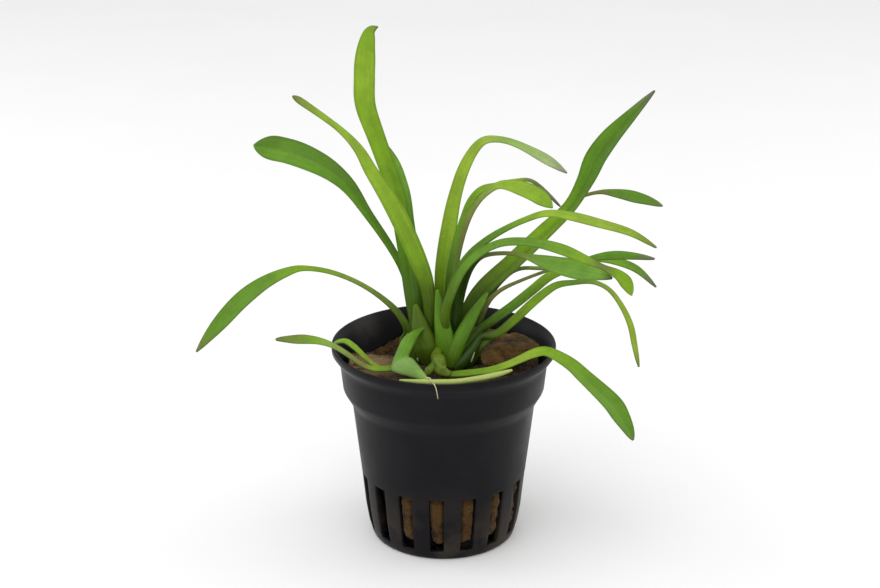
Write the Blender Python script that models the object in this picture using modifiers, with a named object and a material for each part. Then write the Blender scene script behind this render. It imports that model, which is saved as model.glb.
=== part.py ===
"""A dwarf sagittaria plant in its small slotted net pot, at real size.

The origin is the centre of the pot's flat underside, +Z is up and -Y is the front.
Sizes below are in millimetres, and each mesh is made in metres.
"""

import math

import bmesh
import bpy
from mathutils import Matrix, Vector

MM = 0.001
OBJECT_NAME = "potted_dwarf_sagittaria"
MERGE_DISTANCE = 0.01
SMOOTH_ANGLE = math.radians(40.0)

# Net pot, a turned shape. Its outlines are radius and height.
POT_HEIGHT = 50.3
RIM_RADIUS = 27.5
BASE_RADIUS = 17.4
FLOOR_THICKNESS = 1.2
FLOOR_MIDDLE = 8.0
FLOOR_CORNER = [(16.2, FLOOR_THICKNESS), (16.9, 1.9)]
INNER_WALL = [(16.4, FLOOR_THICKNESS), (18.0, 5.0), (19.3, 17.0), (21.5, 35.0), (23.2, 39.0), (24.9, 46.5)]
FLARED_RIM = [
    (25.6, 48.4), (26.4, 49.5), (27.2, POT_HEIGHT), (RIM_RADIUS, 49.9), (27.4, 48.7), (26.6, 47.6),
    (25.7, 46.8)]
PLAIN_BAND = [(25.4, 45.0), (24.8, 39.2), (24.3, 38.2)]
TAPERED_WALL = [(22.9, 35.9), (22.5, 34.7), (20.5, 17.0), (19.5, 7.0)]
ROUNDED_FOOT = [(18.9, 3.8), (18.2, 1.2), (17.9, 0.4), (BASE_RADIUS, 0.0)]
POT_STEPS = 48

# Slots round the pot's wall and drains in its floor, all cut by radial boxes.
WALL_SLOTS = {
    "count": 16, "first_angle": -5.0, "inner": 13.0, "outer": 24.0, "width": 3.4, "low": 2.3, "high": 17.0}
FLOOR_DRAINS = {
    "count": 8, "first_angle": 0.0, "inner": 6.5, "outer": 13.5, "width": 2.4, "low": -2.0, "high": 1.5}

# Rock wool plug: clear of the wall by its gap, with a lip, a hollow and a fold on its top.
WOOL_STEPS = 28
WOOL_FOOT = (15.4, 3.6)
WOOL_FOOT_EDGE = 5.2
WOOL_FOOT_GAP = 0.9
WOOL_GAP = 0.6
WOOL_SIDE_HEIGHTS = [12.0, 20.0, 34.6, 39.4]
WOOL_TOP = 46.4
WOOL_SHOULDER = 45.0
WOOL_TOP_RADII = [23.4, 20.8, 17.5, 14.0, 10.5, 7.0, 3.5, 0.0]
LIP_HEIGHT = 1.4
LIP_START = 13.0
LIP_WIDTH = 6.0
HOLLOW_DEPTH = 6.5
HOLLOW_PLACE = (-14.0, 12.0, 6.0)
FOLD_HEIGHT = 1.6
FOLD_PLACE = (-15.5, 0.5, 2.6)
LUMP_HEIGHT = 0.25

# Rock wool flap at the right: x, y and z of its back edge, then of its front edge.
FLAP_EDGES = [
    (10.8, -4.4, 50.0, 9.2, -9.6, 48.8), (11.4, -2.9, 51.0, 9.8, -12.2, 48.6),
    (13.2, -1.6, 51.8, 11.8, -13.3, 48.6), (15.6, -0.8, 52.1, 14.4, -12.8, 48.7),
    (18.0, -0.7, 52.0, 17.0, -11.6, 48.8), (20.4, -1.8, 51.4, 19.6, -9.6, 49.0),
    (23.0, -3.6, 50.0, 22.4, -6.8, 49.2)]
FLAP_COLUMNS = 10
FLAP_ROWS = 6
FLAP_BULGE = 0.9
FLAP_RIPPLE = 0.2
FLAP_THICKNESS = 1.5

# Leaves and stems.
LEAF_THICKNESS = 0.8
LEAF_CUP = 0.12
LEAF_PARTS_ACROSS = 2
ROWS_PER_STATION = 2
AIM_STEP = 0.01
STEM_RINGS_PER_STATION = 3

DARK_PLASTIC = (0.016, 0.015, 0.018)
WOOL_BROWN = (0.16, 0.085, 0.035)
BRIGHT_GREEN = (0.20, 0.40, 0.02)
MID_GREEN = (0.13, 0.33, 0.03)
DEEP_GREEN = (0.07, 0.23, 0.03)
PALE_GREEN = (0.45, 0.58, 0.12)

FACES_CAMERA = (0.0, -0.8, 0.6)
FACES_UP = (0.0, -0.45, 0.9)

# Each leaf's stations run from its base to its tip: x, y, z and the blade's width.
LEFT_LEAVES = {
    "leaf_left_tall": (MID_GREEN, FACES_CAMERA, [
        (-6.4, -1.2, 53.2, 3.2), (-7.5, -1.0, 62.5, 4.0), (-9.0, 0.0, 74.0, 4.2),
        (-11.3, 1.5, 87.0, 4.3), (-15.3, 3.0, 99.0, 4.2), (-18.4, 4.0, 108.0, 4.9),
        (-18.6, 4.5, 115.0, 5.1), (-18.2, 5.0, 121.0, 4.5), (-17.2, 5.0, 125.4, 3.0),
        (-15.3, 4.6, 127.0, 0.8)]),
    "leaf_left_dark": (DEEP_GREEN, FACES_CAMERA, [
        (-4.2, 1.6, 53.2, 1.8), (-5.0, 1.8, 60.5, 2.1), (-7.0, 2.8, 70.0, 2.6), (-9.0, 4.5, 79.0, 4.0),
        (-10.6, 6.5, 87.0, 4.6), (-13.0, 8.5, 93.6, 4.0), (-16.6, 11.0, 100.0, 0.9)]),
    "leaf_left_curled": (BRIGHT_GREEN, FACES_CAMERA, [
        (-3.2, -3.5, 53.2, 2.6), (-3.8, -3.7, 64.5, 3.4), (-6.0, -5.0, 72.5, 4.3),
        (-11.2, -7.5, 85.5, 4.4), (-16.6, -9.5, 95.6, 3.2), (-19.5, -11.5, 101.7, 2.4),
        (-23.2, -13.5, 106.6, 1.6), (-28.0, -15.5, 111.0, 1.6), (-33.5, -17.5, 115.5, 0.9)]),
    "leaf_left_upper": (MID_GREEN, FACES_CAMERA, [
        (-7.2, 3.6, 53.2, 2.1), (-8.6, 5.0, 63.5, 2.2), (-12.3, 6.5, 71.3, 1.9),
        (-18.6, 9.5, 80.1, 2.4), (-24.0, 13.0, 86.7, 4.1), (-31.0, 17.0, 90.6, 6.0),
        (-38.0, 20.0, 92.5, 6.8), (-43.8, 22.0, 93.3, 6.2), (-47.4, 23.0, 93.9, 2.8)]),
    "leaf_left_arching": (MID_GREEN, FACES_CAMERA, [
        (-8.9, 1.0, 53.4, 2.0), (-12.3, 1.0, 58.8, 1.6), (-18.6, -1.5, 64.9, 1.2),
        (-26.0, -4.0, 69.4, 1.2), (-33.0, -6.0, 71.3, 1.4), (-37.5, -7.5, 70.7, 2.4),
        (-43.0, -9.0, 68.2, 3.5), (-48.3, -10.5, 64.3, 4.2), (-53.8, -11.5, 58.4, 3.4),
        (-58.9, -12.0, 52.3, 0.8)]),
    "leaf_left_low": (PALE_GREEN, FACES_UP, [
        (-8.5, -13.0, 48.9, 1.8), (-12.5, -14.5, 49.0, 1.8), (-16.2, -14.6, 49.0, 1.7),
        (-19.2, -13.8, 49.6, 1.4), (-22.6, -11.8, 51.4, 1.3), (-26.2, -8.6, 52.4, 1.5),
        (-30.5, -4.5, 52.1, 2.4), (-35.5, -3.0, 51.9, 3.1), (-41.0, -2.0, 51.7, 0.9)]),
    "leaf_left_small": (BRIGHT_GREEN, FACES_UP, [
        (-17.4, -10.4, 48.9, 1.2), (-19.0, -9.9, 50.2, 1.4), (-21.0, -8.9, 52.0, 1.5),
        (-23.2, -7.4, 53.1, 1.6), (-24.9, -6.2, 52.8, 1.4), (-26.4, -5.2, 51.8, 1.0)]),
    "leaf_front_folded": (PALE_GREEN, (0.0, -0.3, 0.95), [
        (-5.4, -5.0, 53.0, 2.2), (-5.8, -6.5, 54.9, 2.5), (-6.8, -8.4, 55.4, 3.0), (-8.2, -10.5, 54.3, 3.5),
        (-9.4, -12.9, 52.7, 3.7), (-10.0, -15.6, 51.2, 4.0), (-8.2, -18.6, 51.0, 4.0),
        (-5.9, -21.6, 51.4, 3.0), (-3.8, -25.2, 51.9, 1.2), (-2.7, -27.6, 51.4, 0.8),
        (-2.1, -28.9, 49.7, 0.7), (-1.6, -29.2, 47.4, 0.6)]),
}
MIDDLE_LEAVES = {
    "leaf_middle_arching": (BRIGHT_GREEN, FACES_CAMERA, [
        (0.0, 1.5, 53.6, 3.4), (0.0, 1.8, 66.0, 4.5), (1.0, 2.3, 76.5, 4.1), (2.5, 3.0, 85.5, 3.3),
        (5.0, 3.8, 93.5, 2.8), (8.6, 4.0, 99.2, 2.3), (12.6, 3.5, 100.3, 1.7), (17.5, 2.5, 99.3, 1.8),
        (24.4, 0.5, 96.0, 2.5), (29.2, 0.0, 93.0, 0.5)]),
    "leaf_middle_thin": (MID_GREEN, FACES_CAMERA, [
        (0.7, -0.3, 53.6, 1.8), (1.4, -0.2, 65.5, 2.0), (2.8, -0.5, 75.0, 2.0), (4.7, 0.0, 81.5, 1.9),
        (6.4, 0.0, 86.0, 1.9), (9.0, 0.0, 89.0, 1.7), (12.6, 0.5, 90.0, 1.2), (17.0, 1.0, 90.9, 0.9),
        (21.5, 1.5, 90.4, 0.9), (28.0, 2.5, 84.0, 0.8)]),
    "leaf_middle_short": (MID_GREEN, FACES_CAMERA, [
        (2.4, -1.7, 53.6, 1.5), (2.6, -2.2, 65.0, 1.4), (3.3, -3.0, 73.0, 1.3), (5.1, -4.4, 81.0, 1.3),
        (7.4, -5.5, 86.6, 1.3), (10.2, -6.5, 90.2, 1.4), (13.4, -8.0, 92.4, 2.1),
        (18.6, -10.4, 91.9, 3.9), (22.4, -12.6, 90.4, 3.9), (25.0, -14.0, 88.6, 1.4)]),
}
RIGHT_LEAVES = {
    "leaf_right_high_arch": (BRIGHT_GREEN, FACES_CAMERA, [
        (0.6, -5.0, 53.6, 2.2), (0.8, -6.2, 61.5, 2.0), (2.8, -7.4, 69.5, 2.0), (5.8, -8.8, 75.2, 1.9),
        (9.8, -10.4, 79.5, 1.8), (14.2, -12.5, 83.1, 1.5), (19.0, -15.0, 86.2, 1.4),
        (23.5, -17.0, 88.2, 1.7), (29.0, -19.5, 88.2, 2.2), (35.0, -22.0, 87.3, 2.2),
        (42.0, -24.0, 85.7, 1.7), (47.6, -26.0, 82.9, 0.7)]),
    "leaf_right_drooping": (BRIGHT_GREEN, FACES_CAMERA, [
        (0.4, -7.0, 53.9, 2.4), (0.4, -8.2, 61.0, 2.3), (2.6, -9.8, 68.5, 2.2), (5.2, -11.4, 73.8, 2.1),
        (9.2, -13.0, 78.0, 1.9), (14.0, -15.5, 80.8, 2.0), (20.5, -19.0, 81.8, 2.2),
        (26.5, -22.0, 81.2, 2.7), (31.5, -24.5, 79.7, 2.2), (35.5, -26.0, 78.4, 1.4),
        (39.0, -27.0, 76.9, 2.4), (41.0, -27.5, 74.8, 3.1), (42.3, -27.5, 72.0, 1.7)]),
    "leaf_right_dark": (DEEP_GREEN, FACES_CAMERA, [
        (2.6, -3.7, 53.7, 3.0), (3.2, -4.4, 62.0, 3.1), (4.9, -6.0, 68.7, 2.5), (7.2, -7.5, 73.2, 1.6),
        (10.0, -9.0, 75.6, 1.1), (15.0, -11.0, 76.7, 1.0), (18.5, -13.0, 76.7, 1.2),
        (22.0, -14.5, 76.1, 2.7), (26.0, -16.5, 75.5, 4.2), (31.0, -18.5, 75.0, 4.9),
        (35.5, -20.0, 74.5, 3.0), (38.5, -21.0, 74.0, 0.8)]),
    "leaf_right_tall": (MID_GREEN, FACES_CAMERA, [
        (4.4, 0.2, 53.4, 3.0), (6.5, 1.0, 58.8, 3.8), (10.2, 2.1, 63.7, 4.3), (17.5, 4.0, 70.0, 4.3),
        (24.0, 7.0, 75.5, 4.1), (30.6, 10.0, 81.3, 3.4), (34.5, 12.5, 87.2, 4.2),
        (37.1, 14.5, 92.6, 5.2), (40.6, 16.6, 97.0, 4.8), (45.8, 18.8, 102.2, 3.1),
        (51.8, 21.0, 108.2, 0.8)]),
    "leaf_right_back": (MID_GREEN, FACES_CAMERA, [
        (5.2, 4.0, 53.4, 1.6), (9.5, 6.0, 61.5, 1.3), (15.0, 9.0, 68.0, 1.2), (21.5, 12.0, 73.5, 1.1),
        (27.0, 15.0, 77.5, 1.0), (32.5, 18.5, 81.0, 1.0), (38.5, 21.0, 82.2, 1.0),
        (43.2, 23.0, 81.3, 2.3), (47.5, 25.0, 79.9, 3.2), (52.0, 26.5, 78.4, 2.5),
        (56.0, 28.0, 76.6, 0.8)]),
    "leaf_right_narrow": (MID_GREEN, FACES_CAMERA, [
        (7.6, 3.0, 53.4, 1.4), (10.6, 4.6, 59.7, 1.4), (15.0, 5.3, 65.2, 1.3), (18.8, 4.2, 67.8, 1.0),
        (24.5, 1.2, 68.9, 1.0), (31.5, -2.5, 71.2, 1.2), (36.0, -4.0, 73.2, 1.7),
        (40.0, -5.0, 74.1, 2.2), (44.5, -6.0, 74.3, 2.0), (49.9, -7.0, 74.0, 0.7)]),
    "leaf_right_lower": (BRIGHT_GREEN, FACES_CAMERA, [
        (8.3, -0.4, 53.4, 1.4), (10.4, -1.0, 60.3, 1.3), (13.6, -0.9, 63.9, 1.0),
        (18.8, 1.4, 65.7, 0.8), (25.4, 4.2, 67.3, 0.8), (32.0, 7.0, 68.6, 1.1), (38.2, 8.0, 68.9, 1.6),
        (43.6, 8.5, 67.8, 2.1), (48.0, 8.5, 65.8, 1.9), (52.6, 8.0, 61.6, 0.7)]),
    "leaf_right_strap": (BRIGHT_GREEN, FACES_CAMERA, [
        (9.0, -2.8, 54.7, 2.3), (12.6, -3.3, 57.7, 2.4), (16.5, -3.9, 60.9, 2.4),
        (21.1, -4.7, 65.2, 2.4), (25.0, -5.7, 69.0, 2.3), (28.8, -6.6, 71.0, 1.9),
        (32.5, -7.5, 71.8, 1.5), (35.0, -8.0, 71.6, 0.9)]),
    "leaf_right_hanging": (BRIGHT_GREEN, FACES_CAMERA, [
        (9.0, -5.4, 53.7, 1.7), (12.8, -5.6, 54.6, 2.1), (17.1, -6.2, 58.4, 2.2),
        (21.7, -7.2, 63.5, 2.1), (26.3, -8.3, 67.6, 1.8), (30.5, -9.8, 69.0, 1.3),
        (35.0, -11.0, 69.6, 1.1), (38.8, -11.6, 67.9, 1.1), (41.8, -12.3, 64.1, 1.3),
        (44.0, -12.8, 59.5, 1.5), (45.2, -13.1, 54.2, 1.4), (46.4, -13.2, 48.9, 0.7)]),
    "leaf_front_over_rim": (BRIGHT_GREEN, FACES_UP, [
        (3.1, -17.3, 48.8, 1.9), (7.1, -17.3, 49.2, 2.0), (10.9, -17.4, 49.8, 2.1),
        (14.6, -17.2, 50.9, 2.2), (17.9, -16.6, 52.2, 2.3), (21.2, -15.9, 53.4, 2.6),
        (24.5, -15.9, 53.8, 3.0), (29.5, -17.0, 51.2, 3.9), (33.0, -18.0, 48.3, 4.3),
        (38.9, -20.0, 43.0, 5.2), (41.5, -21.0, 39.6, 4.8), (43.4, -21.5, 36.4, 3.2),
        (44.7, -22.0, 33.9, 0.9)]),
}

# Crowns: centre x and y, half width, half depth, foot height and top height. Each is
# fluted, and its levels are a share of its width at a share of its height.
CROWN_SIDES = 18
CROWN_FLUTES = 5
CROWN_FLUTE_DEPTH = 0.07
CROWN_LEVELS = [(0.72, 0.0), (1.0, 0.2), (1.0, 0.75), (0.9, 1.0)]
CROWNS = {
    "crown_left": (-5.7, -0.4, 3.7, 4.9, 47.4, 52.4),
    "crown_middle": (1.3, -2.0, 2.7, 5.3, 47.4, 52.8),
    "crown_right": (7.1, -0.5, 2.5, 5.2, 47.4, 52.4),
}

# The stubby joint of the runner in front of the crowns, and the runner along the rim.
JOINT_STATIONS = [
    (-1.6, -10.2, 50.3, 1.4), (-1.4, -12.6, 50.2, 1.9), (-1.0, -15.0, 49.3, 1.8),
    (0.4, -16.9, 48.9, 1.0)]
RUNNER_STATIONS = [
    (-10.4, -22.9, 49.6, 0.45), (-5.4, -24.6, 49.9, 0.65), (-0.9, -25.2, 50.0, 0.75),
    (3.7, -24.9, 50.1, 0.75), (8.4, -23.7, 50.4, 0.75), (12.6, -21.8, 50.6, 0.7),
    (16.0, -19.8, 50.9, 0.5)]


def remove_everything():
    """Empty the scene that the script starts in."""
    for existing in list(bpy.data.objects):
        bpy.data.objects.remove(existing, do_unlink=True)


def new_collection(name):
    """Make a collection under the scene."""
    collection = bpy.data.collections.new(name)
    bpy.context.scene.collection.children.link(collection)
    return collection


def plain_material(name, colour, roughness):
    """A Principled material in one colour."""
    material = bpy.data.materials.new(name)
    material.use_nodes = True
    shader = material.node_tree.nodes["Principled BSDF"]
    shader.inputs["Base Color"].default_value = (*colour, 1.0)
    shader.inputs["Roughness"].default_value = roughness
    shader.inputs["Metallic"].default_value = 0.0
    material.diffuse_color = (*colour, 1.0)
    return material


def object_from_bmesh(shape, name, collection, material):
    """Turn a bmesh into a smooth-shaded object in a collection."""
    mesh = bpy.data.meshes.new(name)
    shape.to_mesh(mesh)
    shape.free()
    mesh.shade_smooth()
    mesh.set_sharp_from_angle(angle=SMOOTH_ANGLE)
    piece = bpy.data.objects.new(name, mesh)
    collection.objects.link(piece)
    if material is not None:
        piece.data.materials.append(material)
    return piece


def turned_shape(name, profile, steps, collection, material):
    """Turn a profile of radius and height round the Z axis."""
    shape = bmesh.new()
    points = [shape.verts.new((radius * MM, 0.0, height * MM)) for radius, height in profile]
    for first, second in zip(points, points[1:]):
        shape.edges.new((first, second))
    piece = object_from_bmesh(shape, name, collection, material)
    screw = piece.modifiers.new("turned", "SCREW")
    screw.axis = "Z"
    screw.angle = math.tau
    screw.steps = steps
    screw.render_steps = steps
    screw.use_merge_vertices = True
    screw.merge_threshold = MERGE_DISTANCE * MM
    screw.use_smooth_shade = True
    return piece


def cut(piece, cutter):
    """Cut a piece with a cutter."""
    boolean = piece.modifiers.new(cutter.name, "BOOLEAN")
    boolean.operation = "DIFFERENCE"
    boolean.solver = "EXACT"
    boolean.object = cutter


def cut_radial_slots(piece, name, collection, count, first_angle, inner, outer, width, low, high):
    """Cut a ring of box-shaped slots whose length runs outwards."""
    shape = bmesh.new()
    for index in range(count):
        angle = math.radians(first_angle - 90.0 + index * 360.0 / count)
        size = Matrix.Diagonal(((outer - inner) * MM, width * MM, (high - low) * MM, 1.0))
        move = Matrix.Translation(((inner + outer) * 0.5 * MM, 0.0, (low + high) * 0.5 * MM))
        bmesh.ops.create_cube(shape, size=1.0, matrix=Matrix.Rotation(angle, 4, "Z") @ move @ size)
    cutter = object_from_bmesh(shape, name, collection, None)
    cutter.display_type = "WIRE"
    cutter.hide_render = True
    cut(piece, cutter)


def wall_inside_radius(height):
    """Radius of the pot's inner wall at a height."""
    for (inner, low), (outer, high) in zip(INNER_WALL, INNER_WALL[1:]):
        if height <= high:
            return inner + (outer - inner) * (height - low) / (high - low)
    return INNER_WALL[-1][0]


def make_pot(parts, cutters):
    """The net pot: flared rim, band, step, tapered wall with slots and a drained floor."""
    floor_inside = [(0.0, FLOOR_THICKNESS), (FLOOR_MIDDLE, FLOOR_THICKNESS)] + FLOOR_CORNER
    outside = FLARED_RIM + PLAIN_BAND + TAPERED_WALL + ROUNDED_FOOT
    floor_outside = [(FLOOR_MIDDLE, 0.0), (0.0, 0.0)]
    profile = floor_inside + INNER_WALL[1:] + outside + floor_outside
    material = plain_material("black_plastic", DARK_PLASTIC, 0.4)
    pot = turned_shape("pot", profile, POT_STEPS, parts, material)
    cut_radial_slots(pot, "wall_slot_cutter", cutters, **WALL_SLOTS)
    cut_radial_slots(pot, "drain_cutter", cutters, **FLOOR_DRAINS)


def bump(x, y, centre_x, centre_y, spread):
    """A smooth hill of height one at its centre."""
    distance = (x - centre_x) ** 2 + (y - centre_y) ** 2
    return math.exp(-distance / (2.0 * spread ** 2))


def wool_surface(x, y):
    """Height of the rock wool at a place, in millimetres."""
    front_lip = LIP_HEIGHT * max(0.0, min(1.0, (-y - LIP_START) / LIP_WIDTH))
    left_hollow = HOLLOW_DEPTH * bump(x, y, *HOLLOW_PLACE)
    left_fold = FOLD_HEIGHT * bump(x, y, *FOLD_PLACE)
    lumps = LUMP_HEIGHT * math.sin(0.55 * x + 0.4) * math.cos(0.5 * y)
    return WOOL_TOP + front_lip - left_hollow + left_fold + lumps


def make_wool_plug(parts):
    """The plug of rock wool, with an uneven top and a hollow at the left rear."""
    foot_edge = (wall_inside_radius(WOOL_FOOT_EDGE) - WOOL_FOOT_GAP, WOOL_FOOT_EDGE)
    foot = [(0.0, WOOL_FOOT[1]), WOOL_FOOT, foot_edge]
    side = [(wall_inside_radius(height) - WOOL_GAP, height) for height in WOOL_SIDE_HEIGHTS]
    top = [(radius, WOOL_TOP) for radius in WOOL_TOP_RADII]
    shape = bmesh.new()
    profile = [shape.verts.new((radius * MM, 0.0, height * MM)) for radius, height in foot + side + top]
    edges = [shape.edges.new(pair) for pair in zip(profile, profile[1:])]
    bmesh.ops.spin(shape, geom=profile + edges, cent=(0, 0, 0), axis=(0, 0, 1), angle=math.tau,
                   steps=WOOL_STEPS, use_merge=True)
    bmesh.ops.remove_doubles(shape, verts=shape.verts[:], dist=MERGE_DISTANCE * MM)
    for vertex in shape.verts:
        if vertex.co.z > WOOL_SHOULDER * MM:
            vertex.co.z = wool_surface(vertex.co.x / MM, vertex.co.y / MM) * MM
    bmesh.ops.recalc_face_normals(shape, faces=shape.faces[:])
    object_from_bmesh(shape, "rockwool_plug", parts, plain_material("rock_wool", WOOL_BROWN, 0.95))


def spline_point(points, place):
    """A point of a smooth curve through all of the points, with place from 0 to 1."""
    spans = len(points) - 1
    index = min(int(place * spans), spans - 1)
    step = place * spans - index
    before = points[max(index - 1, 0)]
    start = points[index]
    end = points[index + 1]
    after = points[min(index + 2, spans)]
    value = []
    for a, b, c, d in zip(before, start, end, after):
        smooth = 2.0 * b + (c - a) * step
        smooth += (2.0 * a - 5.0 * b + 4.0 * c - d) * step ** 2
        smooth += (3.0 * b - a - 3.0 * c + d) * step ** 3
        value.append(0.5 * smooth)
    return value


def make_flap(parts):
    """The flap of rock wool that is folded up and over at the right of the pot."""
    shape = bmesh.new()
    bmesh.ops.create_grid(shape, x_segments=FLAP_COLUMNS, y_segments=FLAP_ROWS, size=0.5)
    for vertex in shape.verts:
        along = min(max(vertex.co.x + 0.5, 0.0), 1.0)
        across = vertex.co.y * 2.0
        edges = spline_point(FLAP_EDGES, along)
        place = Vector(edges[3:]).lerp(Vector(edges[:3]), vertex.co.y + 0.5)
        place.z += FLAP_BULGE * (1.0 - across ** 2) + FLAP_RIPPLE * math.sin(5.0 * across + 3.0 * along)
        vertex.co = place * MM
    material = plain_material("rock_wool_edge", WOOL_BROWN, 0.95)
    flap = object_from_bmesh(shape, "rockwool_flap", parts, material)
    solid = flap.modifiers.new("thickness", "SOLIDIFY")
    solid.thickness = FLAP_THICKNESS * MM
    solid.offset = 0.0


def make_leaf(name, colour, facing, stations, parts):
    """One leaf: a strip along its route, as wide as its stations say, cupped and thickened."""
    rows = ROWS_PER_STATION * (len(stations) - 1)
    shape = bmesh.new()
    bmesh.ops.create_grid(shape, x_segments=rows, y_segments=LEAF_PARTS_ACROSS, size=0.5)
    look = Vector(facing).normalized()
    for vertex in shape.verts:
        along = min(max(vertex.co.x + 0.5, 0.0), 1.0)
        across = vertex.co.y
        x, y, z, width = spline_point(stations, along)
        ahead = Vector(spline_point(stations, min(along + AIM_STEP, 1.0))[:3])
        behind = Vector(spline_point(stations, max(along - AIM_STEP, 0.0))[:3])
        side = (ahead - behind).cross(look).normalized()
        face = side.cross(ahead - behind).normalized()
        lift = LEAF_CUP * width * (2.0 * abs(across)) ** 2
        vertex.co = (Vector((x, y, z)) + side * across * width + face * lift) * MM
    leaf = object_from_bmesh(shape, name, parts, plain_material(name + "_green", colour, 0.45))
    solid = leaf.modifiers.new("thickness", "SOLIDIFY")
    solid.thickness = LEAF_THICKNESS * MM
    solid.offset = 0.0


def ring_edges(ring):
    """The edges that join the vertices of a ring."""
    return [edge for edge in {edge for vertex in ring for edge in vertex.link_edges}
            if edge.verts[0] in ring and edge.verts[1] in ring]


def make_crown(name, centre_x, centre_y, half_width, half_depth, foot, top, parts):
    """A short stem wrapped in leaf bases, fluted and a little narrower at its top."""
    shape = bmesh.new()
    rings = []
    for scale, share in CROWN_LEVELS:
        height = foot + (top - foot) * share
        ring = bmesh.ops.create_circle(shape, cap_ends=False, segments=CROWN_SIDES, radius=1.0)["verts"]
        for vertex in ring:
            angle = math.atan2(vertex.co.y, vertex.co.x)
            reach = scale * (1.0 - CROWN_FLUTE_DEPTH * math.cos(CROWN_FLUTES * angle))
            x = centre_x + half_width * reach * math.cos(angle)
            y = centre_y + half_depth * reach * math.sin(angle)
            vertex.co = Vector((x, y, height)) * MM
        rings.append(ring)
    for lower, upper in zip(rings, rings[1:]):
        bmesh.ops.bridge_loops(shape, edges=ring_edges(lower) + ring_edges(upper))
    bmesh.ops.holes_fill(shape, edges=shape.edges[:], sides=CROWN_SIDES)
    bmesh.ops.recalc_face_normals(shape, faces=shape.faces[:])
    object_from_bmesh(shape, name, parts, plain_material(name + "_green", MID_GREEN, 0.45))


def make_stem(name, stations, roundness, parts):
    """A round stem along a smooth curve through its stations: x, y, z and radius."""
    curve = bpy.data.curves.new(name + "_route", "CURVE")
    curve.dimensions = "3D"
    curve.bevel_depth = MM
    curve.bevel_resolution = roundness
    curve.use_fill_caps = True
    spline = curve.splines.new("POLY")
    count = STEM_RINGS_PER_STATION * (len(stations) - 1)
    spline.points.add(count)
    for index, point in enumerate(spline.points):
        x, y, z, radius = spline_point(stations, index / count)
        point.co = (x * MM, y * MM, z * MM, 1.0)
        point.radius = radius
    guide = bpy.data.objects.new(name + "_route", curve)
    parts.objects.link(guide)
    evaluated = guide.evaluated_get(bpy.context.evaluated_depsgraph_get())
    mesh = bpy.data.meshes.new_from_object(evaluated)
    shape = bmesh.new()
    shape.from_mesh(mesh)
    bmesh.ops.remove_doubles(shape, verts=shape.verts[:], dist=MERGE_DISTANCE * MM)
    bmesh.ops.recalc_face_normals(shape, faces=shape.faces[:])
    bpy.data.objects.remove(guide, do_unlink=True)
    bpy.data.curves.remove(curve)
    bpy.data.meshes.remove(mesh)
    object_from_bmesh(shape, name, parts, plain_material(name + "_green", PALE_GREEN, 0.45))


def main():
    """Build the whole plant in its pot."""
    remove_everything()
    parts = new_collection(OBJECT_NAME)
    cutters = new_collection(OBJECT_NAME + "_cutters")
    make_pot(parts, cutters)
    make_wool_plug(parts)
    make_flap(parts)
    for name, sizes in CROWNS.items():
        make_crown(name, *sizes, parts)
    make_stem("runner_joint", JOINT_STATIONS, 2, parts)
    make_stem("runner_along_rim", RUNNER_STATIONS, 1, parts)
    for group in (LEFT_LEAVES, MIDDLE_LEAVES, RIGHT_LEAVES):
        for name, (colour, facing, stations) in group.items():
            make_leaf(name, colour, facing, stations, parts)


main()
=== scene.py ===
"""The looks of a dwarf sagittaria plant in its small slotted net pot.

Sizes are in millimetres and meshes are made in metres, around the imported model.
The origin is the centre of the pot's underside, +Z is up and -Y is the front.
"""

import math
import random

import bmesh
import bpy
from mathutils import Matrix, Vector, noise


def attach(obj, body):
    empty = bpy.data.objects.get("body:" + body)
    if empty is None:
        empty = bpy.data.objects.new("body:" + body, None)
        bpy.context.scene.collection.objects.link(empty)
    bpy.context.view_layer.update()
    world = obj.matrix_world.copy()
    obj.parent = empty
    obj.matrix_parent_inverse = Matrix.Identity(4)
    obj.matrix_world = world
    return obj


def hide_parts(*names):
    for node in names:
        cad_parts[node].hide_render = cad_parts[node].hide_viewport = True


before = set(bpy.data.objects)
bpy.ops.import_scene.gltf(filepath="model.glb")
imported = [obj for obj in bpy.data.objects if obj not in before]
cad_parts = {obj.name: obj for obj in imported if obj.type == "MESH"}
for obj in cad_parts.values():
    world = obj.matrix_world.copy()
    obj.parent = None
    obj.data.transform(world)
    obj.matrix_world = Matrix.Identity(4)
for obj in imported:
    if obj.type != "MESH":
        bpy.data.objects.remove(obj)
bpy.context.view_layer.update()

MM = 0.001
BODY = "root"
MERGE_DISTANCE = 0.005

# Camera, fitted to the ellipses of the pot's rim and base.
CAMERA_PLACE = (-0.9, -380.0, 198.0)
CAMERA_PITCH = 19.6
CAMERA_LENS = 68.08
SENSOR_WIDTH = 36.0

# Leaf strips: how finely they are divided, and how thick they are in their middle.
ROWS_PER_STATION = 5
LEAF_COLUMNS = 12
AIM_STEP = 0.01
MOST_THICKNESS = 1.8
BLADE_THICKNESS = 0.5
STALK_THICKNESS = 0.7
SHEATH_THICKNESS = 1.3
SHEATH_WIDENING = 1.7
LEAST_SHEATH_WIDTH = 4.6
MARGIN_THIN = 0.35

# Crowns: centre x and y, half width, half depth, foot height and top height.
CROWNS = {
    "left": (-5.7, -0.4, 3.9, 5.0, 45.6, 53.6),
    "middle": (1.3, -2.0, 3.0, 5.4, 45.6, 54.0),
    "right": (7.1, -0.5, 2.9, 5.3, 45.6, 53.6),
}
CROWN_FLUTES = 7
CROWN_FLUTE_DEPTH = 0.06

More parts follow.
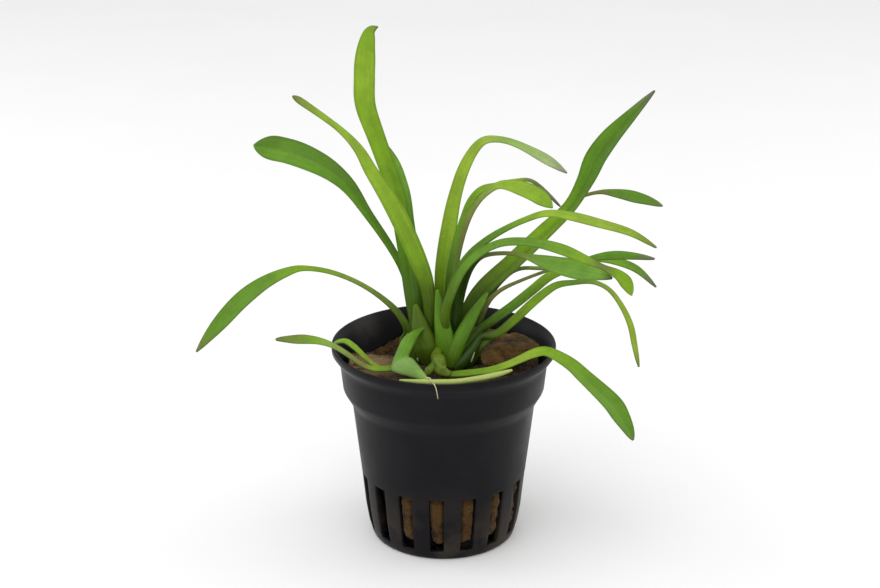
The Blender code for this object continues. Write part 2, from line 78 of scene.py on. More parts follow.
# Net pot, a turned shape. Its outlines are radius and height, with the same heights
# inside and outside along the slots.
POT_HEIGHT = 50.3
POT_INSIDE = [(0.0, 1.2), (8.0, 1.2), (16.2, 1.2), (16.9, 1.9), (17.1, 2.4), (17.6, 3.8), (18.0, 5.0),
              (18.3, 8.0), (18.8, 12.5), (19.3, 17.0), (19.4, 17.8), (21.5, 35.0), (23.2, 39.0),
              (24.9, 46.5)]
POT_RIM = [(25.6, 48.4), (26.0, 49.1), (26.4, 49.6), (26.8, 50.1), (27.15, POT_HEIGHT), (27.4, 50.15),
           (27.5, 49.8), (27.4, 48.7), (27.0, 48.1), (26.5, 47.4), (25.9, 46.8), (25.6, 46.0)]
POT_OUTSIDE = [(25.4, 45.0), (24.8, 39.4), (24.6, 38.8), (24.2, 38.1), (23.1, 36.2), (22.8, 35.6),
               (22.5, 34.7), (20.6, 17.8), (20.5, 17.0), (20.05, 12.5), (19.6, 8.0), (19.1, 5.0),
               (18.9, 3.8), (18.5, 2.4), (18.2, 1.2), (17.9, 0.4), (17.4, 0.0), (16.9, 0.0), (8.0, 0.0),
               (0.0, 0.0)]
POT_SPIN_STEPS = 144
POT_EDGE = 0.16
POT_SPECULAR = 0.09

# Wall slots and floor drains, each with its angles in degrees.
SLOT_COUNT = 16
SLOT_FIRST = -95.0
SLOT_HALF_ANGLE = 5.0
SLOT_LOW = 2.4
SLOT_HIGH = 17.0
SLOT_WALL = 17.0
DRAIN_COUNT = 8
DRAIN_FIRST = 0.0
DRAIN_HALF_ANGLE = 7.5
DRAIN_INNER = 6.5
DRAIN_OUTER = 13.5

# The rock wool swells into the slots, all but two of them at the left.
SWELL_DEPTH = 1.3
SWELL_HALF_ANGLE = 5.8
SWELL_LOW = 2.6
SWELL_HIGH = 17.4
EMPTY_SLOTS = {13, 14}
WOOL_SIDE = 14.5

# Rock wool fibres that stand out of its top and its edges.
FIBRE_SEED = 4
PLUG_FIBRES = 500
FLAP_FIBRES = 200
FIBRE_RADIUS = 0.03
FIBRE_LENGTH = 1.2
FIBRE_LOWEST = 44.0

# Studio: the world's strength and each soft light's place, aim, size in metres and watts.
WORLD_STRENGTH = 0.85
SOFT_LIGHTS = [
    ("light_above", (-0.25, -0.35, 0.75), (0.0, 0.0, 0.06), (0.7, 0.7), 2.0),
    ("light_left", (-0.7, 0.15, 0.3), (0.0, 0.0, 0.05), (0.4, 0.7), 1.2),
    ("light_right", (0.7, 0.15, 0.3), (0.0, 0.0, 0.05), (0.4, 0.7), 1.2),
]


def paint(red, green, blue):
    """A colour as the eye sees it, 0 to 255, turned into the shader's linear colour."""
    linear = []
    for part in (red, green, blue):
        share = part / 255.0
        linear.append(share / 12.92 if share <= 0.04045 else ((share + 0.055) / 1.055) ** 2.4)
    return (*linear, 1.0)


BASE_SHADE = paint(58, 84, 10)
BASE_OLIVE = paint(80, 106, 18)
FRESH = paint(136, 170, 42)
FRESH_DEEP = paint(118, 156, 26)
YELLOW_GREEN = paint(138, 166, 48)
MID = paint(94, 136, 34)
MID_DEEP = paint(86, 128, 24)
DEEP = paint(116, 160, 56)
SHADE = paint(42, 68, 6)
STALK = paint(122, 146, 60)
STALK_BROWN = paint(112, 116, 54)
PALE = paint(138, 170, 84)
BLEACHED = paint(158, 178, 116)
FOLD_PALE = paint(112, 146, 70)
GREY_TIP = paint(140, 140, 120)
BROWN_TIP = paint(104, 112, 56)
PLUM_TIP = paint(104, 98, 84)
RUNNER = paint(176, 190, 108)
JOINT = paint(104, 124, 28)
ROOT_TIP = paint(200, 196, 160)

FACES_CAMERA = (0.0, -0.8, 0.6)
FACES_UP = (0.0, -0.45, 0.9)

# Each leaf: the crown it grows from, its slot, the way it faces, how deeply it is
# cupped, how sharply it is folded (2 is a round cup, 1 a straight fold), how blunt its
# tip is, its colours at numbered stations, and its stations from base to tip as
# x, y, z and width.
LEAVES = {
    "leaf_left_tall": (
        "left", "leaf_mid", FACES_CAMERA, 0.10, 1.6, 0.10,
        [(0, BASE_SHADE), (2, MID_DEEP), (4, FRESH_DEEP), (6, FRESH), (8, FRESH_DEEP), (9, BROWN_TIP)],
        [(-6.4, -1.2, 53.2, 3.2), (-7.5, -1.0, 62.5, 4.0), (-9.0, 0.0, 74.0, 4.2),
         (-11.3, 1.5, 87.0, 4.3), (-15.3, 3.0, 99.0, 4.2), (-18.4, 4.0, 108.0, 4.9),
         (-18.6, 4.5, 115.0, 5.1), (-18.2, 5.0, 121.0, 4.5), (-17.2, 5.0, 125.4, 3.0),
         (-15.3, 4.6, 127.0, 0.8)]),
    "leaf_left_dark": (
        "left", "leaf_deep", FACES_CAMERA, 0.16, 1.4, 0.0,
        [(0, SHADE), (2, MID_DEEP), (4, DEEP), (6, DEEP)],
        [(-4.2, 1.6, 53.2, 1.8), (-5.0, 1.8, 60.5, 2.1), (-7.0, 2.8, 70.0, 2.6), (-9.0, 4.5, 79.0, 4.0),
         (-10.6, 6.5, 87.0, 4.6), (-13.0, 8.5, 93.6, 4.0), (-16.6, 11.0, 100.0, 0.9)]),
    "leaf_left_curled": (
        "left", "leaf_bright", FACES_CAMERA, 0.14, 2.0, 0.03,
        [(0, BASE_SHADE), (1, BASE_OLIVE), (2, FRESH_DEEP), (4, FRESH), (7, YELLOW_GREEN), (8, BROWN_TIP)],
        [(-3.2, -3.5, 53.2, 2.6), (-3.8, -3.7, 64.5, 3.4), (-6.0, -5.0, 72.5, 4.3),
         (-11.2, -7.5, 85.5, 4.4), (-16.6, -9.5, 95.6, 3.2), (-19.5, -11.5, 101.7, 2.4),
         (-23.2, -13.5, 106.6, 1.6), (-28.0, -15.5, 111.0, 1.5), (-33.7, -17.5, 115.6, 1.9)]),
    "leaf_left_upper": (
        "left", "leaf_mid", FACES_CAMERA, 0.18, 1.5, 0.14,
        [(0, BASE_SHADE), (2, MID_DEEP), (4, MID_DEEP), (6, MID), (8, MID_DEEP)],
        [(-7.2, 3.6, 53.2, 2.1), (-8.6, 5.0, 63.5, 2.2), (-12.3, 6.5, 71.3, 1.9),
         (-18.6, 9.5, 80.1, 2.4), (-24.0, 13.0, 86.7, 4.1), (-31.0, 17.0, 90.6, 6.0),
         (-38.0, 20.0, 92.5, 6.8), (-43.8, 22.0, 93.3, 6.2), (-47.4, 23.0, 93.9, 2.8)]),
    "leaf_left_arching": (
        "left", "leaf_mid", FACES_CAMERA, 0.10, 2.0, 0.0,
        [(0, BASE_OLIVE), (2, STALK), (4, FRESH_DEEP), (6, MID), (8, MID), (9, BROWN_TIP)],
        [(-8.9, 1.0, 53.4, 2.0), (-12.3, 1.0, 58.8, 1.6), (-18.6, -1.5, 64.9, 1.2),
         (-26.0, -4.0, 69.4, 1.2), (-33.0, -6.0, 71.3, 1.4), (-37.5, -7.5, 70.7, 2.4),
         (-43.0, -9.0, 68.2, 3.5), (-48.3, -10.5, 64.3, 4.2), (-53.8, -11.5, 58.4, 3.4),
         (-58.9, -12.0, 52.3, 0.8)]),
    "leaf_left_low": (
        None, "leaf_pale", FACES_UP, 0.12, 2.0, 0.0,
        [(0, BASE_OLIVE), (2, FRESH_DEEP), (3, STALK_BROWN), (5, STALK), (6, FRESH_DEEP), (8, BROWN_TIP)],
        [(-8.5, -13.0, 48.9, 1.8), (-12.5, -14.5, 49.0, 1.8), (-16.2, -14.6, 49.0, 1.7),
         (-19.2, -13.8, 49.6, 1.4), (-22.6, -11.8, 51.4, 1.3), (-26.2, -8.6, 52.4, 1.5),
         (-30.5, -4.5, 52.1, 2.4), (-35.5, -3.0, 51.9, 3.1), (-41.0, -2.0, 51.7, 0.9)]),
    "leaf_left_small": (
        None, "leaf_bright", FACES_UP, 0.12, 2.0, 0.0,
        [(0, STALK_BROWN), (3, YELLOW_GREEN), (5, FRESH_DEEP), (7, FRESH_DEEP)],
        [(-14.6, -14.2, 48.9, 0.9), (-16.0, -12.3, 48.8, 1.1), (-17.4, -10.4, 48.9, 1.2),
         (-19.0, -9.9, 50.2, 1.4), (-21.0, -8.9, 52.0, 1.5), (-23.2, -7.4, 53.1, 1.6),
         (-24.9, -6.2, 52.8, 1.4), (-26.4, -5.2, 51.8, 1.0)]),
    "leaf_middle_arching": (
        "middle", "leaf_bright", FACES_CAMERA, 0.12, 2.0, 0.0,
        [(0, BASE_SHADE), (1, FRESH_DEEP), (2, FRESH), (5, YELLOW_GREEN), (7, PALE), (8, BLEACHED),
         (9, GREY_TIP)],
        [(0.0, 1.5, 53.6, 3.4), (0.0, 1.8, 66.0, 4.5), (1.0, 2.3, 76.5, 4.1), (2.5, 3.0, 85.5, 3.3),
         (5.0, 3.8, 93.5, 2.8), (8.6, 4.0, 99.2, 2.3), (12.6, 3.5, 100.3, 1.7), (17.5, 2.5, 99.3, 1.8),
         (24.4, 0.5, 96.0, 2.5), (29.2, 0.0, 93.0, 0.5)]),
    "leaf_middle_thin": (
        "middle", "leaf_mid", FACES_CAMERA, 0.12, 2.0, 0.0,
        [(0, BASE_SHADE), (2, MID), (5, FRESH_DEEP), (7, YELLOW_GREEN), (8, BROWN_TIP), (9, PLUM_TIP)],
        [(0.7, -0.3, 53.6, 1.8), (1.4, -0.2, 65.5, 2.0), (2.8, -0.5, 75.0, 2.0), (4.7, 0.0, 81.5, 1.9),
         (6.4, 0.0, 86.0, 1.9), (9.0, 0.0, 89.0, 1.7), (12.6, 0.5, 90.0, 1.2), (17.0, 1.0, 90.9, 0.9),
         (21.5, 1.5, 90.4, 0.9), (28.0, 2.5, 84.0, 0.8)]),
    "leaf_middle_short": (
        "middle", "leaf_mid", FACES_CAMERA, 0.10, 1.8, 0.08,
        [(0, BASE_SHADE), (1, MID_DEEP), (3, STALK_BROWN), (5, STALK), (6, FRESH), (9, FRESH_DEEP)],
        [(2.4, -1.7, 53.6, 1.5), (2.6, -2.2, 65.0, 1.4), (3.3, -3.0, 73.0, 1.3), (5.1, -4.4, 81.0, 1.3),
         (7.4, -5.5, 86.6, 1.3), (10.2, -6.5, 90.2, 1.4), (13.4, -8.0, 92.4, 2.1),
         (18.6, -10.4, 91.9, 3.9), (22.4, -12.6, 90.4, 3.9), (25.0, -14.0, 88.6, 1.4)]),
    "leaf_right_high_arch": (
        "middle", "leaf_bright", FACES_CAMERA, 0.14, 1.8, 0.0,
        [(0, BASE_SHADE), (3, MID_DEEP), (5, MID_DEEP), (7, FRESH), (10, YELLOW_GREEN), (11, BROWN_TIP)],
        [(0.6, -5.0, 53.6, 2.2), (0.8, -6.2, 61.5, 2.0), (2.8, -7.4, 69.5, 2.0), (5.8, -8.8, 75.2, 1.9),
         (9.8, -10.4, 79.5, 1.8), (14.2, -12.5, 83.1, 1.5), (19.0, -15.0, 86.2, 1.4),
         (23.5, -17.0, 88.2, 1.7), (29.0, -19.5, 88.2, 2.2), (35.0, -22.0, 87.3, 2.2),
         (42.0, -24.0, 85.7, 1.7), (47.6, -26.0, 82.9, 0.7)]),
    "leaf_right_drooping": (
        "middle", "leaf_bright", FACES_CAMERA, 0.12, 2.0, 0.10,
        [(0, BASE_SHADE), (1, BASE_OLIVE), (3, MID), (6, MID), (8, FRESH_DEEP), (9, BROWN_TIP),
         (10, FRESH_DEEP), (12, FRESH_DEEP)],
        [(0.4, -7.0, 53.9, 2.4), (0.4, -8.2, 61.0, 2.3), (2.6, -9.8, 68.5, 2.2),
         (5.2, -11.4, 73.8, 2.1), (9.2, -13.0, 78.0, 1.9), (14.0, -15.5, 80.8, 2.0),
         (20.5, -19.0, 81.8, 2.2), (26.5, -22.0, 81.2, 2.7), (31.5, -24.5, 79.7, 2.2),
         (35.5, -26.0, 78.4, 1.4), (39.0, -27.0, 76.9, 2.4), (41.0, -27.5, 74.8, 3.1),
         (42.3, -27.5, 72.0, 1.7)]),
    "leaf_right_dark": (
        "middle", "leaf_deep", FACES_CAMERA, 0.12, 1.8, 0.0,
        [(0, SHADE), (3, SHADE), (5, STALK_BROWN), (6, STALK), (7, DEEP), (10, DEEP), (11, SHADE)],
        [(2.6, -3.7, 53.7, 3.0), (3.2, -4.4, 62.0, 3.1), (4.9, -6.0, 68.7, 2.5), (7.2, -7.5, 73.2, 1.6),
         (10.0, -9.0, 75.6, 1.1), (15.0, -11.0, 76.7, 1.0), (18.5, -13.0, 76.7, 1.2),
         (22.0, -14.5, 76.1, 2.7), (26.0, -16.5, 75.5, 4.2), (31.0, -18.5, 75.0, 4.9),
         (35.5, -20.0, 74.5, 3.0), (38.5, -21.0, 74.0, 0.8)]),
    "leaf_right_tall": (
        "right", "leaf_mid", FACES_CAMERA, 0.24, 1.1, 0.0,
        [(0, BASE_SHADE), (2, BASE_OLIVE), (4, FRESH_DEEP), (6, MID_DEEP), (8, MID_DEEP), (9, MID_DEEP),
         (10, PLUM_TIP)],
        [(4.4, 0.2, 53.4, 3.0), (6.5, 1.0, 58.8, 3.8), (10.2, 2.1, 63.7, 4.3), (17.5, 4.0, 70.0, 4.3),
         (24.0, 7.0, 75.5, 4.1), (30.6, 10.0, 81.3, 3.4), (34.5, 12.5, 87.2, 4.2),
         (37.1, 14.5, 92.6, 5.2), (40.6, 16.6, 97.0, 4.8), (45.8, 18.8, 102.2, 3.1),
         (51.8, 21.0, 108.2, 0.8)]),
    "leaf_right_back": (
        "right", "leaf_mid", FACES_CAMERA, 0.14, 1.6, 0.0,
        [(0, BASE_SHADE), (2, STALK_BROWN), (6, STALK_BROWN), (7, MID_DEEP), (9, MID_DEEP),
         (10, BROWN_TIP)],
        [(5.2, 4.0, 53.4, 1.6), (9.5, 6.0, 61.5, 1.3), (15.0, 9.0, 68.0, 1.2), (21.5, 12.0, 73.5, 1.1),
         (27.0, 15.0, 77.5, 1.0), (32.5, 18.5, 81.0, 1.0), (38.5, 21.0, 82.2, 1.0),
         (43.2, 23.0, 81.3, 2.3), (47.5, 25.0, 79.9, 3.2), (52.0, 26.5, 78.4, 2.5),
         (56.0, 28.0, 76.6, 0.8)]),
    "leaf_right_narrow": (
        "right", "leaf_mid", FACES_CAMERA, 0.16, 1.6, 0.0,
        [(0, BASE_SHADE), (2, BASE_OLIVE), (4, STALK), (6, MID), (8, MID_DEEP), (9, PLUM_TIP)],
        [(7.6, 3.0, 53.4, 1.4), (10.6, 4.6, 59.7, 1.4), (15.0, 5.3, 65.2, 1.3), (18.8, 4.2, 67.8, 1.0),
         (24.5, 1.2, 68.9, 1.0), (31.5, -2.5, 71.2, 1.2), (36.0, -4.0, 73.2, 1.7),
         (40.0, -5.0, 74.1, 2.2), (44.5, -6.0, 74.3, 2.0), (49.9, -7.0, 74.0, 0.7)]),
    "leaf_right_lower": (
        "right", "leaf_bright", FACES_CAMERA, 0.14, 1.8, 0.0,
        [(0, BASE_SHADE), (1, STALK_BROWN), (4, STALK_BROWN), (6, FRESH_DEEP), (8, MID), (9, PLUM_TIP)],
        [(8.3, -0.4, 53.4, 1.4), (10.4, -1.0, 60.3, 1.3), (13.6, -0.9, 63.9, 1.0),
         (18.8, 1.4, 65.7, 0.8), (25.4, 4.2, 67.3, 0.8), (32.0, 7.0, 68.6, 1.1), (38.2, 8.0, 68.9, 1.6),
         (43.6, 8.5, 67.8, 2.1), (48.0, 8.5, 65.8, 1.9), (52.6, 8.0, 61.6, 0.7)]),
    "leaf_right_strap": (
        "right", "leaf_bright", FACES_CAMERA, 0.14, 1.6, 0.0,
        [(0, BASE_SHADE), (2, MID_DEEP), (4, FRESH_DEEP), (7, FRESH_DEEP)],
        [(9.0, -2.8, 54.7, 2.3), (12.6, -3.3, 57.7, 2.4), (16.5, -3.9, 60.9, 2.4),
         (21.1, -4.7, 65.2, 2.4), (25.0, -5.7, 69.0, 2.3), (28.8, -6.6, 71.0, 1.9),
         (32.5, -7.5, 71.8, 1.5), (35.0, -8.0, 71.6, 0.9)]),
    "leaf_right_hanging": (
        "right", "leaf_bright", FACES_CAMERA, 0.14, 1.8, 0.0,
        [(0, SHADE), (1, BASE_OLIVE), (3, FRESH_DEEP), (5, MID), (6, STALK), (8, YELLOW_GREEN),
         (10, YELLOW_GREEN), (11, BROWN_TIP)],
        [(9.0, -5.4, 53.7, 1.7), (12.8, -5.6, 54.6, 2.1), (17.1, -6.2, 58.4, 2.2),
         (21.7, -7.2, 63.5, 2.1), (26.3, -8.3, 67.6, 1.8), (30.5, -9.8, 69.0, 1.3),
         (35.0, -11.0, 69.6, 1.1), (38.8, -11.6, 67.9, 1.1), (41.8, -12.3, 64.1, 1.3),
         (44.0, -12.8, 59.5, 1.5), (45.2, -13.1, 54.2, 1.4), (46.4, -13.2, 48.9, 0.7)]),
    "leaf_front_over_rim": (
        None, "leaf_bright", FACES_UP, 0.10, 1.8, 0.0,
        [(0, BASE_OLIVE), (3, FRESH_DEEP), (5, YELLOW_GREEN), (7, FRESH_DEEP), (10, MID), (12, MID_DEEP),
         (13, BROWN_TIP)],
        [(-0.2, -16.2, 48.3, 1.2), (3.1, -17.3, 48.8, 1.9), (7.1, -17.3, 49.2, 2.0),
         (10.9, -17.4, 49.8, 2.1), (14.6, -17.2, 50.9, 2.2), (17.9, -16.6, 52.2, 2.3),
         (21.2, -15.9, 53.4, 2.6), (24.5, -15.9, 53.8, 3.0), (29.5, -17.0, 51.2, 3.9),
         (33.0, -18.0, 48.3, 4.3), (38.9, -20.0, 43.0, 5.2), (41.5, -21.0, 39.6, 4.8),
         (43.4, -21.5, 36.4, 3.2), (44.7, -22.0, 33.9, 0.9)]),
}

# How much painted light lies on the left half of a leaf and painted shade on its right, and how streaked it
# is.
LEAF_PAINTED_SIDE_LIGHT = {
    "leaf_right_tall": 0.16, "leaf_left_upper": 0.12, "leaf_right_narrow": 0.12, "leaf_right_strap": 0.12,
    "leaf_left_tall": 0.05, "leaf_right_back": 0.08}
LEAF_STREAKS = {"leaf_left_dark": 0.5, "leaf_left_curled": 0.45}

# The folded leaf at the front, by its left and its right edge: x, y and z, over the
# crease in the middle and on to its thin end, and its colours along it.
FOLDED_LEFT_EDGE = [
    (-6.2, -5.0, 55.5), (-9.5, -8.0, 54.6), (-11.1, -12.0, 52.8), (-12.5, -16.0, 50.1),
    (-11.2, -18.5, 49.6), (-5.8, -22.0, 49.5), (-3.3, -25.0, 49.5)]
FOLDED_RIGHT_EDGE = [
    (-4.0, -5.0, 56.0), (-5.7, -7.6, 55.2), (-7.1, -11.4, 53.9), (-8.2, -14.8, 52.4),
    (-7.2, -17.3, 52.7), (-4.4, -21.6, 50.8), (-3.2, -24.8, 49.8)]
FOLDED_COLOURS = [(0, MID_DEEP), (1, MID), (2.8, MID), (3.2, FOLD_PALE), (4.5, FOLD_PALE), (6, PALE)]
FOLDED_ROWS = 40
FOLDED_THICKNESS = 0.45
HAIR_STATIONS = [
    (-4.2, -24.0, 50.7, 0.2), (-3.3, -25.3, 51.1, 0.17), (-2.6, -26.8, 50.75, 0.15),
    (-2.0, -27.9, 50.2, 0.13), (-1.6, -28.6, 48.9, 0.11), (-1.35, -28.9, 47.4, 0.07)]

# Old sheaths that wrap the front of the crowns: their facing, colours and stations.
SHEATHS = {
    "sheath_left_front": (
        (-0.2, -0.9, 0.3), [(0, BASE_SHADE), (2, BASE_OLIVE), (4, BASE_OLIVE)],
        [(-2.2, -7.2, 46.6, 4.4), (-3.5, -7.2, 49.2, 6.2), (-4.7, -6.7, 52.2, 6.2), (-5.8, -5.4, 56.0, 4.4),
         (-6.8, -3.8, 61.5, 1.0)]),
    "sheath_middle_front": (
        (0.0, -0.9, 0.3), [(0, BASE_OLIVE), (2, MID_DEEP), (4, MID_DEEP)],
        [(1.0, -8.2, 46.8, 4.8), (0.8, -8.4, 50.0, 5.2), (0.2, -8.1, 54.0, 4.6), (-0.6, -7.2, 59.5, 3.4),
         (-1.6, -6.0, 66.0, 0.8)]),
    "sheath_right_front": (
        (0.1, -0.9, 0.4), [(0, BASE_OLIVE), (2, MID_DEEP), (4, MID_DEEP)],
        [(1.4, -8.8, 46.8, 3.6), (2.4, -8.8, 50.2, 3.8), (4.2, -7.6, 54.4, 3.6), (7.0, -5.0, 59.0, 2.8),
         (10.6, -1.4, 63.6, 0.8)]),
    "sheath_right_low": (
        (0.3, -0.8, 0.6), [(0, SHADE), (1, BASE_SHADE), (3, BASE_OLIVE)],
        [(3.0, -7.6, 46.4, 4.4), (5.8, -7.2, 48.8, 4.4), (8.8, -5.8, 51.4, 3.4), (12.2, -4.2, 53.9, 0.8)]),
}

# Leaves that leave their crown sideways, from its foot: the stations before their own.
SIDEWAYS_BASES = {
    "leaf_right_strap": [(1.8, -7.2, 46.8, 3.2), (3.8, -6.9, 49.8, 3.6), (6.3, -5.2, 52.4, 3.2)],
    "leaf_right_hanging": [(2.2, -8.6, 46.8, 3.0), (4.6, -8.4, 48.8, 3.2), (7.0, -7.0, 51.4, 2.6)],
    "leaf_right_tall": [(2.4, -4.8, 47.0, 4.0), (3.4, -3.0, 50.2, 4.0)],
}

# Round stems: x, y, z and radius at each station.
JOINT_STATIONS = [
    (-1.2, -7.6, 51.2, 1.0), (-1.6, -10.2, 50.3, 1.5), (-1.4, -12.6, 50.2, 1.9), (-1.0, -15.0, 49.3, 1.7),
    (0.2, -16.6, 48.8, 1.2), (1.6, -17.2, 48.5, 0.9)]
BUD_STATIONS = [
    (-1.4, -13.4, 49.9, 1.1), (-2.6, -15.2, 49.7, 1.1), (-3.8, -16.8, 49.2, 0.9), (-4.6, -17.8, 48.9, 0.35)]
RUNNER_STATIONS = [
    (-10.4, -22.9, 49.6, 0.25), (-5.4, -24.6, 49.9, 0.65), (-0.9, -25.2, 50.0, 0.75),
    (3.7, -24.9, 50.1, 0.75), (8.4, -23.7, 50.4, 0.75), (12.6, -21.8, 50.6, 0.7),
    (16.0, -19.8, 50.9, 0.3)]
ROOT_TIPS = {
    "root_tip_left": [(-6.2, -8.0, 48.4, 0.26), (-6.3, -8.9, 49.2, 0.24), (-6.3, -9.2, 49.8, 0.1)],
    "root_tip_right": [(6.6, -8.4, 48.2, 0.2), (7.0, -9.0, 49.8, 0.2), (7.4, -9.1, 51.2, 0.08)],
}


def spline_point(points, place):
    """A point of a smooth curve through all of the points, with place from 0 to 1."""
    spans = len(points) - 1
    index = min(int(place * spans), spans - 1)
    step = place * spans - index
    before = points[max(index - 1, 0)]
    start = points[index]
    end = points[index + 1]
    after = points[min(index + 2, spans)]
    value = []
    for a, b, c, d in zip(before, start, end, after):
        smooth = 2.0 * b + (c - a) * step
        smooth += (2.0 * a - 5.0 * b + 4.0 * c - d) * step ** 2
        smooth += (3.0 * b - a - 3.0 * c + d) * step ** 3
        value.append(0.5 * smooth)
    return value


def ease(value, low, high):
    """Rise smoothly from 0 at low to 1 at high."""
    share = max(0.0, min(1.0, (value - low) / (high - low)))
    return share * share * (3.0 - 2.0 * share)


def finish_piece(name, shape, material, replaced=()):
    """Make an object of a shape, with its material, body and replaced nodes."""
    mesh = bpy.data.meshes.new(name)
    shape.to_mesh(mesh)
    shape.free()
    mesh.shade_smooth()
    mesh.materials.append(material)
    piece = bpy.data.objects.new(name, mesh)
    bpy.context.scene.collection.objects.link(piece)
    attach(piece, BODY)
    if replaced:
        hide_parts(*replaced)
    return piece


def round_off(piece, levels):
    """Round a piece with a subdivision surface."""
    rounding = piece.modifiers.new("rounding", "SUBSURF")
    rounding.levels = levels
    rounding.render_levels = levels


# Shaders.

def new_node(tree, kind, **settings):
    """A shader node with its own settings and its unlinked input values."""
    node = tree.nodes.new(kind)
    for name, value in settings.items():
        if name in node.inputs:
            node.inputs[name].default_value = value
        else:
            setattr(node, name, value)
    return node


def put(tree, source, target):
    """Link a value or colour, or set it where it is a plain number or colour."""
    if isinstance(source, (int, float, tuple)):
        target.default_value = source
    else:
        tree.links.new(source, target)


def arithmetic(tree, operation, first, second=0.0, third=0.0):
    """A Math node on sockets or numbers."""
    node = new_node(tree, "ShaderNodeMath", operation=operation)
    put(tree, first, node.inputs[0])
    put(tree, second, node.inputs[1])
    if operation in {"MULTIPLY_ADD", "SMOOTH_MIN", "SMOOTH_MAX"}:
        put(tree, third, node.inputs[2])
    return node.outputs[0]


def rise(tree, value, low, high, to_low=0.0, to_high=1.0):
    """A smooth change from to_low at low to to_high at high."""
    node = new_node(tree, "ShaderNodeMapRange", interpolation_type="SMOOTHSTEP")
    put(tree, value, node.inputs["Value"])
    put(tree, low, node.inputs["From Min"])
    put(tree, high, node.inputs["From Max"])
    put(tree, to_low, node.inputs["To Min"])
    put(tree, to_high, node.inputs["To Max"])
    return node.outputs["Result"]


def blend_colours(tree, factor, first, second, blend_type="MIX"):
    """A Mix node between two colours."""
    node = new_node(tree, "ShaderNodeMix", data_type="RGBA", blend_type=blend_type)
    put(tree, factor, node.inputs[0])
    put(tree, first, node.inputs[6])
    put(tree, second, node.inputs[7])
    return node.outputs[2]


def grain(tree, vector, scale, detail=3.0, roughness=0.6):
    """A noise value between about 0.3 and 0.7."""
    node = new_node(tree, "ShaderNodeTexNoise", Scale=scale, Detail=detail, Roughness=roughness)
    put(tree, vector, node.inputs["Vector"])
    return node.outputs["Fac"]


def stretched(tree, vector, scale):
    """Coordinates scaled by their own amount along each axis."""
    node = new_node(tree, "ShaderNodeMapping", Scale=scale)
    put(tree, vector, node.inputs["Vector"])
    return node.outputs["Vector"]


def nearness(tree, vector, centre, inner, outer):
    """A mask that is 1 within an inner distance of a place in millimetres and 0 past an outer one."""
    node = new_node(tree, "ShaderNodeVectorMath", operation="DISTANCE")
    put(tree, vector, node.inputs[0])
    node.inputs[1].default_value = Vector(centre) * MM
    return rise(tree, node.outputs["Value"], inner * MM, outer * MM, 1.0, 0.0)


def new_group(name, inputs, outputs):
    """A shader node group with named inputs and outputs."""
    group = bpy.data.node_groups.new(name, "ShaderNodeTree")
    for label, kind, value in inputs:
        socket = group.interface.new_socket(name=label, in_out="INPUT", socket_type=kind)
        socket.default_value = value
    for label, kind in outputs:
        group.interface.new_socket(name=label, in_out="OUTPUT", socket_type=kind)
    return group, group.nodes.new("NodeGroupInput"), group.nodes.new("NodeGroupOutput")


def use_group(tree, group, **values):
    """Place a group in a material and set its inputs. An underscore stands for a space."""
    node = tree.nodes.new("ShaderNodeGroup")
    node.node_tree = group
    for name, value in values.items():
        put(tree, value, node.inputs[name.replace("_", " ")])
    return node


def new_material(name, roughness, specular, sheen=0.0, subsurface=0.0):
    """A material and its shader, with the constants of its finish."""
    material = bpy.data.materials.new(name)
    material.use_nodes = True
    tree = material.node_tree
    shader = tree.nodes["Principled BSDF"]
    shader.inputs["Roughness"].default_value = roughness
    shader.inputs["Specular IOR Level"].default_value = specular
    shader.inputs["Sheen Weight"].default_value = sheen
    shader.inputs["Subsurface Weight"].default_value = subsurface
    shader.inputs["Subsurface Radius"].default_value = (0.6, 1.0, 0.25)
    shader.inputs["Subsurface Scale"].default_value = 0.8 * MM
    return material, tree, shader


def add_bump(tree, shader, height, strength, distance):
    """Feed a height through a Bump node to the shader's Normal."""
    bump = new_node(tree, "ShaderNodeBump", Strength=strength, Distance=distance)
    put(tree, height, bump.inputs["Height"])
    tree.links.new(bump.outputs["Normal"], shader.inputs["Normal"])


